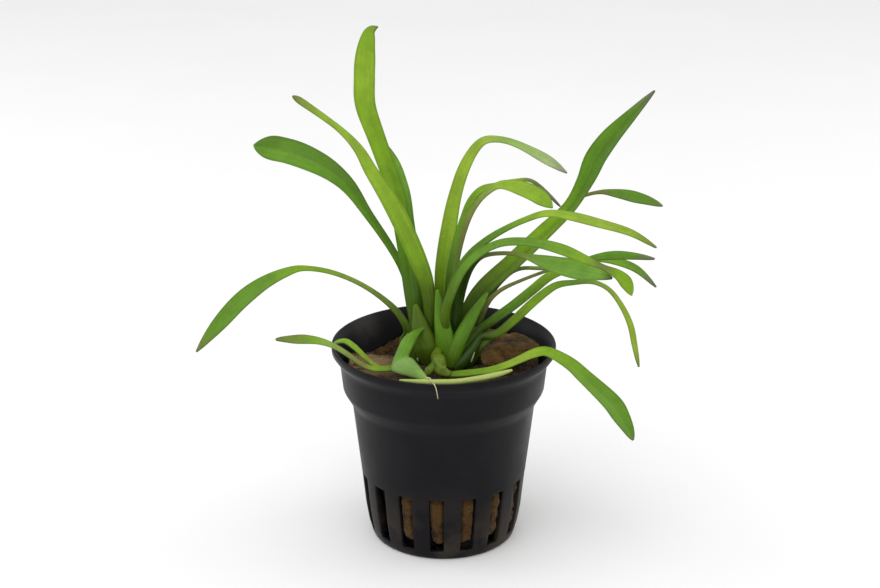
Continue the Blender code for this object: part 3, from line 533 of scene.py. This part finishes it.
def leaf_flesh_group():
    """Veins, midrib, margins and mottling of a strap leaf, with painted light on its left half and painted
    shade on its right, on its UV map.
    """
    group, given, result = new_group(
        "leaf flesh",
        [("Colour", "NodeSocketColor", MID), ("Streaks", "NodeSocketFloat", 0.35),
         ("Midrib", "NodeSocketFloat", 0.2), ("Margin", "NodeSocketFloat", 0.35),
         ("Left Half", "NodeSocketFloat", 0.0), ("Mottle", "NodeSocketFloat", 0.3)],
        [("Colour", "NodeSocketColor"), ("Roughness", "NodeSocketFloat"), ("Height", "NodeSocketFloat")])
    coordinates = group.nodes.new("ShaderNodeTexCoord")
    split = group.nodes.new("ShaderNodeSeparateXYZ")
    group.links.new(coordinates.outputs["UV"], split.inputs[0])
    across = arithmetic(group, "MULTIPLY", arithmetic(
        group, "ABSOLUTE", arithmetic(group, "SUBTRACT", split.outputs["X"], 0.5)), 2.0)
    veins = grain(group, stretched(group, coordinates.outputs["UV"], (15.0, 1.6, 1.0)), 1.0, 2.0)
    fine_veins = grain(group, stretched(group, coordinates.outputs["UV"], (46.0, 3.0, 1.0)), 1.0, 1.0)
    patches = grain(group, coordinates.outputs["Object"], 260.0, 3.0)
    specks = grain(group, coordinates.outputs["Object"], 1500.0, 2.0)

    streak = arithmetic(group, "ADD", rise(group, veins, 0.3, 0.7, -1.0, 1.0),
                        rise(group, fine_veins, 0.3, 0.7, -0.5, 0.5))
    brightness = arithmetic(group, "MULTIPLY_ADD", streak, arithmetic(
        group, "MULTIPLY", given.outputs["Streaks"], 0.33), 1.0)
    blotch = arithmetic(group, "ADD", rise(group, patches, 0.3, 0.7, -1.0, 1.0),
                        rise(group, specks, 0.3, 0.7, -0.4, 0.4))
    brightness = arithmetic(group, "MULTIPLY", brightness, arithmetic(
        group, "MULTIPLY_ADD", blotch, arithmetic(group, "MULTIPLY", given.outputs["Mottle"], 0.33), 1.0))
    # Painted light on the left half of the leaf and painted shade on its right.
    side = rise(group, split.outputs["X"], 0.42, 0.58, 1.0, -1.0)
    brightness = arithmetic(group, "MULTIPLY", brightness, arithmetic(
        group, "MULTIPLY_ADD", side, given.outputs["Left Half"], 1.0))
    edge = arithmetic(group, "MULTIPLY", rise(group, across, 0.72, 1.0), given.outputs["Margin"])
    brightness = arithmetic(group, "MULTIPLY", brightness, arithmetic(group, "SUBTRACT", 1.0, edge))
    tone = group.nodes.new("ShaderNodeCombineColor")
    for channel in tone.inputs:
        group.links.new(brightness, channel)
    flesh = blend_colours(group, 1.0, given.outputs["Colour"], tone.outputs["Color"], "MULTIPLY")
    rib = arithmetic(group, "MULTIPLY", rise(group, across, 0.0, 0.16, 1.0, 0.0), given.outputs["Midrib"])
    flesh = blend_colours(group, rib, flesh, PALE)
    group.links.new(flesh, result.inputs["Colour"])
    group.links.new(rise(group, patches, 0.3, 0.7, 0.34, 0.52), result.inputs["Roughness"])
    height = arithmetic(group, "ADD", arithmetic(group, "MULTIPLY", fine_veins, 0.6), veins)
    height = arithmetic(group, "ADD", height, arithmetic(group, "MULTIPLY", specks, 0.25))
    group.links.new(height, result.inputs["Height"])
    return group


def stem_flesh_group():
    """Fine lengthwise ribs and mottling of round stems, on Object coordinates."""
    group, given, result = new_group(
        "stem flesh",
        [("Colour", "NodeSocketColor", MID), ("Dark Colour", "NodeSocketColor", SHADE),
         ("Mottle", "NodeSocketFloat", 0.5)],
        [("Colour", "NodeSocketColor"), ("Roughness", "NodeSocketFloat"), ("Height", "NodeSocketFloat")])
    coordinates = group.nodes.new("ShaderNodeTexCoord")
    lengthwise = stretched(group, coordinates.outputs["Object"], (1900.0, 1900.0, 160.0))
    ribs = grain(group, lengthwise, 1.0, 2.0)
    patches = grain(group, coordinates.outputs["Object"], 420.0, 3.0)
    mask = arithmetic(group, "MULTIPLY", rise(
        group, arithmetic(group, "ADD", ribs, patches), 0.75, 1.3), given.outputs["Mottle"])
    flesh = blend_colours(group, mask, given.outputs["Colour"], given.outputs["Dark Colour"])
    group.links.new(flesh, result.inputs["Colour"])
    group.links.new(rise(group, patches, 0.3, 0.7, 0.32, 0.55), result.inputs["Roughness"])
    group.links.new(arithmetic(group, "ADD", ribs, patches), result.inputs["Height"])
    return group


LEAF_FLESH = leaf_flesh_group()
STEM_FLESH = stem_flesh_group()


def leaf_material(name, colours, most, first, streaks=0.2, midrib=0.06, margin=0.28, half=0.0):
    """A leaf's flesh, with its colours laid along its length at numbered stations."""
    material, tree, shader = new_material(name, 0.42, 0.2, subsurface=0.12)
    coordinates = tree.nodes.new("ShaderNodeTexCoord")
    split = tree.nodes.new("ShaderNodeSeparateXYZ")
    tree.links.new(coordinates.outputs["UV"], split.inputs[0])
    ramp = tree.nodes.new("ShaderNodeValToRGB")
    tree.links.new(split.outputs["Y"], ramp.inputs["Fac"])
    stops = ramp.color_ramp.elements
    for index, (station, colour) in enumerate(colours):
        position = (station + first) / most
        stop = stops[index] if index < 2 else stops.new(position)
        stop.position = position
        stop.color = colour
    # The half value is painted light on the leaf's left half and painted shade on its right.
    flesh = use_group(tree, LEAF_FLESH, Colour=ramp.outputs["Color"], Streaks=streaks, Midrib=midrib,
                      Margin=margin, Left_Half=half)
    tree.links.new(flesh.outputs["Colour"], shader.inputs["Base Color"])
    tree.links.new(flesh.outputs["Roughness"], shader.inputs["Roughness"])
    add_bump(tree, shader, flesh.outputs["Height"], 0.35, 0.12 * MM)
    return material


def stem_material(name, colour, dark_colour, mottle):
    """The flesh of a round stem."""
    material, tree, shader = new_material(name, 0.4, 0.22, subsurface=0.12)
    flesh = use_group(tree, STEM_FLESH, Colour=colour, Dark_Colour=dark_colour, Mottle=mottle)
    tree.links.new(flesh.outputs["Colour"], shader.inputs["Base Color"])
    tree.links.new(flesh.outputs["Roughness"], shader.inputs["Roughness"])
    add_bump(tree, shader, flesh.outputs["Height"], 0.4, 0.15 * MM)
    return material


def wool_material(name, brown, tan, dark, crest, crest_place, crest_reach):
    """Felted rock wool: matted fibres in browns, with painted shade in its pits and a painted highlight
    round a place.
    """
    material, tree, shader = new_material(name, 0.95, 0.05, sheen=0.1)
    place = tree.nodes.new("ShaderNodeTexCoord").outputs["Object"]
    clumps = grain(tree, place, 330.0, 4.0)
    strands = grain(tree, stretched(tree, place, (3000.0, 900.0, 1500.0)), 1.0, 3.0)
    cross_strands = grain(tree, stretched(tree, place, (900.0, 3000.0, 1500.0)), 1.0, 3.0)
    matted = arithmetic(tree, "MAXIMUM", strands, cross_strands)
    # Painted shade: the dark colour is laid in the low hollows between the clumps.
    colour = blend_colours(tree, rise(tree, clumps, 0.34, 0.58), dark, brown)
    colour = blend_colours(tree, rise(tree, matted, 0.56, 0.74, 0.0, 0.5), colour, tan)
    # Painted highlight: the crest colour is laid round a place on the lump's crest.
    near = nearness(tree, place, crest_place, 0.3 * crest_reach, crest_reach)
    crest_highlight_mask = arithmetic(tree, "MULTIPLY", near, rise(tree, clumps, 0.3, 0.5))
    colour = blend_colours(tree, crest_highlight_mask, colour, crest)
    tree.links.new(colour, shader.inputs["Base Color"])
    height = arithmetic(tree, "ADD", matted, arithmetic(tree, "MULTIPLY", clumps, 2.0))
    add_bump(tree, shader, height, 0.8, 0.5 * MM)
    return material


def pot_material():
    """Matte black-grey moulded plastic, dusty at its foot and scuffed at the left rear of its rim."""
    material, tree, shader = new_material("pot plastic", 0.4, POT_SPECULAR)
    place = tree.nodes.new("ShaderNodeTexCoord").outputs["Object"]
    split = tree.nodes.new("ShaderNodeSeparateXYZ")
    tree.links.new(place, split.inputs[0])
    cloud = grain(tree, place, 90.0, 4.0)
    speckle = grain(tree, place, 2400.0, 3.0)
    scratches = grain(tree, stretched(tree, place, (500.0, 500.0, 2600.0)), 1.0, 3.0)
    colour = blend_colours(tree, rise(tree, cloud, 0.35, 0.65), paint(19, 17, 20), paint(24, 22, 25))
    low = rise(tree, split.outputs["Z"], 1.0 * MM, 22.0 * MM, 0.8, 0.0)
    dust = arithmetic(tree, "MULTIPLY", low, rise(tree, cloud, 0.4, 0.62))
    colour = blend_colours(tree, dust, colour, paint(54, 48, 40))
    scuff = arithmetic(tree, "MULTIPLY", nearness(tree, place, (-20.0, 16.0, 49.0), 1.0, 7.0),
                       rise(tree, cloud, 0.42, 0.6))
    colour = blend_colours(tree, arithmetic(tree, "MULTIPLY", scuff, 0.3), colour, paint(96, 94, 90))
    tree.links.new(colour, shader.inputs["Base Color"])
    roughness = rise(tree, cloud, 0.3, 0.7, 0.36, 0.48)
    roughness = arithmetic(tree, "ADD", roughness, arithmetic(tree, "MULTIPLY", scuff, 0.3))
    tree.links.new(roughness, shader.inputs["Roughness"])
    add_bump(tree, shader, arithmetic(tree, "ADD", speckle, arithmetic(tree, "MULTIPLY", scratches, 0.5)),
             0.1, 0.05 * MM)
    return material


# Leaves.

def route_frame(stations, along, facing):
    """Centre, last value, side and face directions of a route at a share of its length."""
    x, y, z, size = spline_point(stations, along)
    ahead = Vector(spline_point(stations, min(along + AIM_STEP, 1.0))[:3])
    behind = Vector(spline_point(stations, max(along - AIM_STEP, 0.0))[:3])
    side = (ahead - behind).cross(Vector(facing)).normalized()
    face = side.cross(ahead - behind).normalized()
    return Vector((x, y, z)), size, side, face


def base_stations(crown, stations):
    """Two stations that carry a leaf down into its crown as a wide sheath."""
    centre_x, centre_y = CROWNS[crown][:2]
    x, y, z, width = stations[0]
    points = []
    for height, closeness, wider in ((47.2, 0.72, 1.4), (50.2, 0.92, SHEATH_WIDENING)):
        points.append((
            centre_x + (x - centre_x) * closeness, centre_y + (y - centre_y) * closeness, height,
            max(width * wider, LEAST_SHEATH_WIDTH)))
    return points


def leaf_shape(stations, facing, cup, fold, blunt, base_share, base_cup, seed):
    """A leaf's middle surface, cupped or folded and gently uneven, with its thickness."""
    shape = bmesh.new()
    rows = ROWS_PER_STATION * (len(stations) - 1)
    uv_layer = shape.loops.layers.uv.verify()
    weights = shape.verts.layers.deform.verify()
    made = bmesh.ops.create_grid(shape, x_segments=rows, y_segments=LEAF_COLUMNS, size=0.5)["verts"]
    for face in shape.faces:
        for loop in face.loops:
            loop[uv_layer].uv = (loop.vert.co.y + 0.5, loop.vert.co.x + 0.5)
    for vertex in made:
        along = min(max(vertex.co.x + 0.5, 0.0), 1.0)
        across = vertex.co.y
        reach = 2.0 * abs(across)
        centre, width, side, face = route_frame(stations, along, facing)
        width *= 1.0 - 0.5 * ease(along, 0.97, 1.0)
        if blunt > 0.0:
            past = max(0.0, along - (1.0 - blunt)) / blunt
            width *= math.sqrt(max(1.0 - past ** 2, 0.02))
        blade = ease(along, base_share, base_share + 0.15)
        depth = base_cup + (cup - base_cup) * blade
        sharpness = 2.0 + (fold - 2.0) * blade
        lift = width * depth * reach ** sharpness
        lift -= 0.03 * width * blade * math.exp(-(reach / 0.18) ** 2)
        lift += 0.14 * noise.noise(Vector((along * 9.0, across * 1.5, seed))) * min(width / 3.0, 1.0)
        edge = 1.0 + 0.06 * noise.noise(Vector((along * 12.0, math.copysign(5.0, across), seed)))
        stalk = STALK_THICKNESS + (BLADE_THICKNESS - STALK_THICKNESS) * ease(width, 1.2, 3.6)
        middle = stalk
        if base_share > 0.0:
            middle = SHEATH_THICKNESS + (stalk - SHEATH_THICKNESS) * ease(along, 0.0, base_share + 0.15)
        thickness = middle * (1.0 - (1.0 - MARGIN_THIN) * reach ** 3)
        vertex.co = (centre + side * across * width * edge + face * lift) * MM
        vertex[weights][0] = min(thickness / MOST_THICKNESS, 1.0)
    return shape


def add_leaf_thickness(piece):
    """Give a leaf its thickness from its vertex group, and round it."""
    piece.vertex_groups.new(name="thickness")
    solid = piece.modifiers.new("thickness", "SOLIDIFY")
    solid.thickness = MOST_THICKNESS * MM
    solid.offset = 0.0
    solid.vertex_group = "thickness"
    round_off(piece, 1)


def make_leaf(name, seed):
    """One leaf, from inside its crown to its tip."""
    crown, slot, facing, cup, fold, blunt, colours, stations = LEAVES[name]
    first = 0
    base_share = 0.0
    base_cup = cup
    if crown:
        extra = SIDEWAYS_BASES.get(name) or base_stations(crown, stations)
        first = len(extra)
        base_share = first / (len(stations) + first - 1)
        base_cup = 0.30 if stations[0][1] > CROWNS[crown][1] else -0.30
        stations = extra + stations
    shape = leaf_shape(stations, facing, cup, fold, blunt, base_share, base_cup, seed)
    material = leaf_material(name.replace("_", " "), colours, len(stations) - 1, first,
                             half=LEAF_PAINTED_SIDE_LIGHT.get(name, 0.0), streaks=LEAF_STREAKS.get(name, 0.2))
    piece = finish_piece(name + "_blade", shape, material, [name])
    add_leaf_thickness(piece)


def make_folded_leaf(name, seed):
    """The leaf that is creased over at the front, between its two edges."""
    shape = bmesh.new()
    uv_layer = shape.loops.layers.uv.verify()
    weights = shape.verts.layers.deform.verify()
    made = bmesh.ops.create_grid(shape, x_segments=FOLDED_ROWS, y_segments=LEAF_COLUMNS, size=0.5)["verts"]
    for face in shape.faces:
        for loop in face.loops:
            loop[uv_layer].uv = (loop.vert.co.y + 0.5, loop.vert.co.x + 0.5)
    for vertex in made:
        along = min(max(vertex.co.x + 0.5, 0.0), 1.0)
        across = vertex.co.y
        reach = 2.0 * abs(across)
        left = Vector(spline_point(FOLDED_LEFT_EDGE, along))
        right = Vector(spline_point(FOLDED_RIGHT_EDGE, along))
        bulge = 0.12 * (right - left).length * (1.0 - reach ** 2)
        uneven = 0.15 * noise.noise(Vector((along * 8.0, across * 2.0, seed)))
        vertex.co = (left.lerp(right, across + 0.5) + Vector((0.0, -0.6, 0.8)) * (bulge + uneven)) * MM
        thickness = FOLDED_THICKNESS * (1.0 - (1.0 - MARGIN_THIN) * reach ** 3)
        vertex[weights][0] = thickness / MOST_THICKNESS
    spans = len(FOLDED_LEFT_EDGE) - 1
    material = leaf_material(name.replace("_", " "), FOLDED_COLOURS, spans, 0, streaks=0.3)
    add_leaf_thickness(finish_piece(name + "_blade", shape, material, [name]))


def make_sheath(name, seed):
    """A short old sheath that wraps the front of a crown."""
    facing, colours, stations = SHEATHS[name]
    shape = leaf_shape(stations, facing, -0.22, 2.0, 0.0, 0.0, -0.22, seed)
    material = leaf_material(name.replace("_", " "), colours, len(stations) - 1, 0, 0.35, 0.0, 0.45)
    add_leaf_thickness(finish_piece(name, shape, material))


# Round stems and crowns.

def add_round_stem(shape, stations, sides, rows, swell=None):
    """A tube along a route, extruded ring by ring and closed at both ends."""
    ring = bmesh.ops.create_circle(shape, segments=sides, radius=1.0, cap_ends=False)["verts"]
    edges = list({edge for vertex in ring for edge in vertex.link_edges})
    first_edges = edges
    angles = [math.tau * index / sides for index in range(sides)]
    for row in range(rows + 1):
        along = row / rows
        if row:
            made = bmesh.ops.extrude_edge_only(shape, edges=edges)["geom"]
            edges = [item for item in made if isinstance(item, bmesh.types.BMEdge)]
            fresh = [item for item in made if isinstance(item, bmesh.types.BMVert)]
            pairs = {}
            for vertex in fresh:
                for edge in vertex.link_edges:
                    other = edge.other_vert(vertex)
                    if other in order:
                        pairs[order[other]] = vertex
            ring = [pairs[index] for index in range(sides)]
        order = {vertex: index for index, vertex in enumerate(ring)}
        x, y, z, radius = spline_point(stations, along)
        ahead = Vector(spline_point(stations, min(along + AIM_STEP, 1.0))[:3])
        behind = Vector(spline_point(stations, max(along - AIM_STEP, 0.0))[:3])
        tangent = (ahead - behind).normalized()
        side = tangent.cross(Vector((0.3, 0.9, 0.31))).normalized()
        other_side = tangent.cross(side)
        for vertex, angle in zip(ring, angles):
            size = radius * (swell(along, angle) if swell else 1.0)
            outwards = side * math.cos(angle) + other_side * math.sin(angle)
            vertex.co = (Vector((x, y, z)) + outwards * size) * MM
    bmesh.ops.holes_fill(shape, edges=first_edges + edges, sides=sides)


def make_stem(name, stations, sides, rows, material, replaced=(), swell=None, levels=1):
    """A closed round stem as a piece."""
    shape = bmesh.new()
    add_round_stem(shape, stations, sides, rows, swell)
    bmesh.ops.recalc_face_normals(shape, faces=shape.faces)
    piece = finish_piece(name, shape, material, replaced)
    round_off(piece, levels)
    return piece


def make_crown(place, seed):
    """A crown: a short fluted stem, wrapped in the ribs of old leaf bases."""
    centre_x, centre_y, half_width, half_depth, foot, top = CROWNS[place]
    middle = 0.5 * (foot + top)
    stations = [(centre_x, centre_y, foot, 1.0), (centre_x, centre_y, middle, 1.02),
                (centre_x, centre_y, top - 1.0, 0.9), (centre_x, centre_y, top, 0.55)]

    def flutes(along, angle):
        wave = math.cos(CROWN_FLUTES * angle + 2.0 * math.sin(1.5 * along + seed))
        return 1.0 + CROWN_FLUTE_DEPTH * wave

    shape = bmesh.new()
    add_round_stem(shape, stations, 56, 14, flutes)
    centre = Vector((centre_x, centre_y, 0.0)) * MM
    bmesh.ops.translate(shape, vec=-centre, verts=shape.verts)
    bmesh.ops.scale(shape, vec=(half_width, half_depth, 1.0), verts=shape.verts)
    bmesh.ops.translate(shape, vec=centre, verts=shape.verts)
    bmesh.ops.recalc_face_normals(shape, faces=shape.faces)
    material = stem_material("crown " + place, BASE_SHADE, SHADE, 0.8)
    finish_piece("crown_" + place + "_stem", shape, material, ["crown_" + place])


# Rock wool.

def slot_share(first_angle, count, angle):
    """The number of the nearest slot in a ring of them, and the angle away from its middle."""
    turns = (angle - first_angle) / (360.0 / count)
    return round(turns) % count, abs(turns - round(turns)) * 360.0 / count


def slot_swell(place):
    """How far the rock wool swells outwards into a slot at a place."""
    angle = math.degrees(math.atan2(place.y, place.x))
    slot, away = slot_share(SLOT_FIRST, SLOT_COUNT, angle)
    if slot in EMPTY_SLOTS or math.hypot(place.x, place.y) < WOOL_SIDE:
        return 0.0
    above_foot = ease(place.z, SWELL_LOW, SWELL_LOW + 2.0)
    below_head = 1.0 - ease(place.z, SWELL_HIGH - 2.0, SWELL_HIGH)
    between_bars = 1.0 - ease(away, 0.65 * SWELL_HALF_ANGLE, SWELL_HALF_ANGLE)
    return SWELL_DEPTH * above_foot * below_head * between_bars


def wool_copy(node, cuts, roughness, seed):
    """The node's own shape, merged, divided finer and roughened into felted lumps."""
    shape = bmesh.new()
    shape.from_mesh(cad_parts[node].data)
    bmesh.ops.remove_doubles(shape, verts=shape.verts, dist=MERGE_DISTANCE * MM)
    bmesh.ops.subdivide_edges(shape, edges=shape.edges, cuts=cuts, use_grid_fill=True)
    bmesh.ops.smooth_vert(shape, verts=shape.verts, factor=0.5,
                          use_axis_x=True, use_axis_y=True, use_axis_z=True)
    shape.normal_update()
    moves = []
    for vertex in shape.verts:
        place = vertex.co / MM
        push = noise.fractal(place * 0.45 + Vector((seed, 0.0, 0.0)), 1.0, 2.0, 4)
        push += 0.5 * noise.fractal(place * 1.6 + Vector((0.0, seed, 0.0)), 1.0, 2.0, 3)
        outwards = Vector((place.x, place.y, 0.0)).normalized() * slot_swell(place)
        moves.append((vertex.normal * push * roughness + outwards) * MM)
    for vertex, move in zip(shape.verts, moves):
        vertex.co += move
    return shape


def make_wool(name, node, cuts, roughness, fibres, material, seed):
    """A lump of rock wool and the loose fibres that stand out of it."""
    shape = wool_copy(node, cuts, roughness, seed)
    shape.normal_update()
    shape.faces.ensure_lookup_table()
    chance = random.Random(FIBRE_SEED + seed)
    lowest = FIBRE_LOWEST * MM
    spots = [face for face in shape.faces
             if face.calc_center_median().z > lowest and face.normal.z > -0.2]
    chosen = chance.choices(spots, k=fibres)
    places = [(face.calc_center_median(), face.normal.copy()) for face in chosen]
    finish_piece(name, shape, material, [node])

    fuzz = bmesh.new()
    bend = [(0.0, 0.0, 1.0), (0.12, 0.35, 0.9), (0.3, 0.7, 0.7), (0.6, 1.0, 0.2)]
    for place, normal in places:
        lean = Vector((chance.uniform(-1.0, 1.0), chance.uniform(-1.0, 1.0), chance.uniform(-1.0, 1.0)))
        lean = lean.cross(normal)
        direction = (normal * chance.uniform(0.1, 0.7) + lean).normalized()
        length = FIBRE_LENGTH * chance.uniform(0.4, 1.3)
        curl = chance.uniform(-0.8, 0.8)
        across = direction.cross(normal).normalized()
        stations = []
        for sideways, forward, thin in bend:
            point = place / MM + direction * forward * length + across * sideways * curl * length
            point -= normal * 0.25 * length * forward ** 2 * 0.5
            stations.append((*point, FIBRE_RADIUS * thin))
        add_round_stem(fuzz, stations, 3, 4)
    finish_piece(name + "_fibres", fuzz, material)


# Net pot.

def make_pot():
    """The turned pot, its wall slots and floor drains opened, and their edges softened."""
    outline = POT_INSIDE + POT_RIM + POT_OUTSIDE
    shape = bmesh.new()
    verts = [shape.verts.new((radius * MM, 0.0, height * MM)) for radius, height in outline]
    edges = [shape.edges.new(pair) for pair in zip(verts, verts[1:])]
    bmesh.ops.spin(shape, geom=verts + edges, cent=(0.0, 0.0, 0.0), axis=(0.0, 0.0, 1.0), angle=math.tau,
                   steps=POT_SPIN_STEPS, use_merge=True, use_duplicate=False)
    bmesh.ops.remove_doubles(shape, verts=shape.verts, dist=MERGE_DISTANCE * MM)
    bmesh.ops.recalc_face_normals(shape, faces=shape.faces)

    doomed = []
    for face in shape.faces:
        centre = face.calc_center_median() / MM
        radius = math.hypot(centre.x, centre.y)
        angle = math.degrees(math.atan2(centre.y, centre.x))
        wall = radius > SLOT_WALL and SLOT_LOW < centre.z < SLOT_HIGH
        floor = DRAIN_INNER < radius < DRAIN_OUTER and centre.z < 3.0
        if wall and slot_share(SLOT_FIRST, SLOT_COUNT, angle)[1] < SLOT_HALF_ANGLE:
            doomed.append(face)
        elif floor and slot_share(DRAIN_FIRST, DRAIN_COUNT, angle)[1] < DRAIN_HALF_ANGLE:
            doomed.append(face)
    bmesh.ops.delete(shape, geom=doomed, context="FACES")
    openings = {}
    for edge in [edge for edge in shape.edges if edge.is_boundary]:
        middle = (edge.verts[0].co + edge.verts[1].co) / (2.0 * MM)
        angle = math.degrees(math.atan2(middle.y, middle.x))
        if math.hypot(middle.x, middle.y) < DRAIN_OUTER + 0.5:
            key = ("drain", slot_share(DRAIN_FIRST, DRAIN_COUNT, angle)[0])
        else:
            key = ("slot", slot_share(SLOT_FIRST, SLOT_COUNT, angle)[0])
        openings.setdefault(key, []).append(edge)
    lips = []
    for edges in openings.values():
        bmesh.ops.bridge_loops(shape, edges=edges)
        lips += edges
    bmesh.ops.recalc_face_normals(shape, faces=shape.faces)
    bmesh.ops.bevel(shape, geom=lips, offset=POT_EDGE * MM, segments=2, profile=0.5,
                    affect="EDGES", material=-1)
    finish_piece("pot_moulded", shape, pot_material(), ["pot"])


# Floor, lights and camera.

def make_studio():
    """A pale floor, soft lights and the camera."""
    shape = bmesh.new()
    bmesh.ops.create_grid(shape, x_segments=1, y_segments=1, size=1.6)
    mesh = bpy.data.meshes.new("floor")
    shape.to_mesh(mesh)
    shape.free()
    material, tree, shader = new_material("pale floor", 0.6, 0.2)
    place = tree.nodes.new("ShaderNodeTexCoord").outputs["Object"]
    colour = blend_colours(tree, grain(tree, place, 6.0), paint(244, 244, 244), paint(250, 250, 250))
    tree.links.new(colour, shader.inputs["Base Color"])
    mesh.materials.append(material)
    floor = bpy.data.objects.new("floor", mesh)
    floor.location.z = -0.02 * MM
    bpy.context.scene.collection.objects.link(floor)

    world = bpy.data.worlds.new("studio")
    world.use_nodes = True
    world.node_tree.nodes["Background"].inputs["Color"].default_value = (1.0, 1.0, 1.0, 1.0)
    world.node_tree.nodes["Background"].inputs["Strength"].default_value = WORLD_STRENGTH
    bpy.context.scene.world = world
    bpy.context.scene.view_settings.view_transform = "Standard"

    for name, place, aim, size, power in SOFT_LIGHTS:
        data = bpy.data.lights.new(name, "AREA")
        data.shape = "RECTANGLE"
        data.size = size[0]
        data.size_y = size[1]
        data.energy = power
        lamp = bpy.data.objects.new(name, data)
        lamp.location = place
        lamp.rotation_euler = (Vector(aim) - Vector(place)).to_track_quat("-Z", "Y").to_euler()
        bpy.context.scene.collection.objects.link(lamp)

    data = bpy.data.cameras.new("camera")
    data.lens = CAMERA_LENS
    data.sensor_width = SENSOR_WIDTH
    data.clip_start = 0.01
    camera = bpy.data.objects.new("camera", data)
    camera.location = Vector(CAMERA_PLACE) * MM
    camera.rotation_euler = (math.radians(90.0 - CAMERA_PITCH), 0.0, 0.0)
    bpy.context.scene.collection.objects.link(camera)
    bpy.context.scene.camera = camera


def knobbly(along, angle):
    """Uneven knots on the runner's joint."""
    around = Vector((math.cos(angle), math.sin(angle), 4.0 * along))
    return 1.0 + 0.3 * noise.noise(around * 0.9) + 0.08 * noise.noise(around * 2.6)


make_studio()
make_pot()
# For each rock wool the third colour is painted shade in its pits and the fourth a painted highlight round
# the given place.
make_wool("rockwool_plug_felt", "rockwool_plug", 7, 0.45, PLUG_FIBRES, wool_material(
    "rock wool", paint(74, 52, 24), paint(108, 82, 46), paint(34, 23, 9), paint(134, 108, 72),
    (-19.0, -6.0, 48.0), 11.0), 1)
make_wool("rockwool_flap_felt", "rockwool_flap", 3, 0.35, FLAP_FIBRES, wool_material(
    "rock wool flap", paint(80, 58, 22), paint(108, 82, 42), paint(52, 36, 12), paint(134, 104, 56),
    (13.5, 0.4, 53.6), 5.5), 2)
for number, crown in enumerate(CROWNS):
    make_crown(crown, number)
for number, sheath in enumerate(SHEATHS):
    make_sheath(sheath, number)
for number, leaf in enumerate(LEAVES):
    make_leaf(leaf, 3.7 * number)
make_folded_leaf("leaf_front_folded", 5.0)

joint_flesh = stem_material("runner joint", JOINT, BASE_SHADE, 0.8)
make_stem("runner_joint_knot", JOINT_STATIONS, 24, 22, joint_flesh, ["runner_joint"], knobbly)
make_stem("runner_joint_bud", BUD_STATIONS, 20, 12, joint_flesh, swell=knobbly)
make_stem("runner_along_rim_stem", RUNNER_STATIONS, 16, 36, stem_material("runner", RUNNER, STALK, 0.3),
          ["runner_along_rim"])
pale_root = stem_material("pale root", ROOT_TIP, STALK_BROWN, 0.4)
make_stem("leaf_front_folded_hair", HAIR_STATIONS, 10, 16, pale_root)
for tip, route in ROOT_TIPS.items():
    make_stem(tip, route, 10, 8, pale_root)
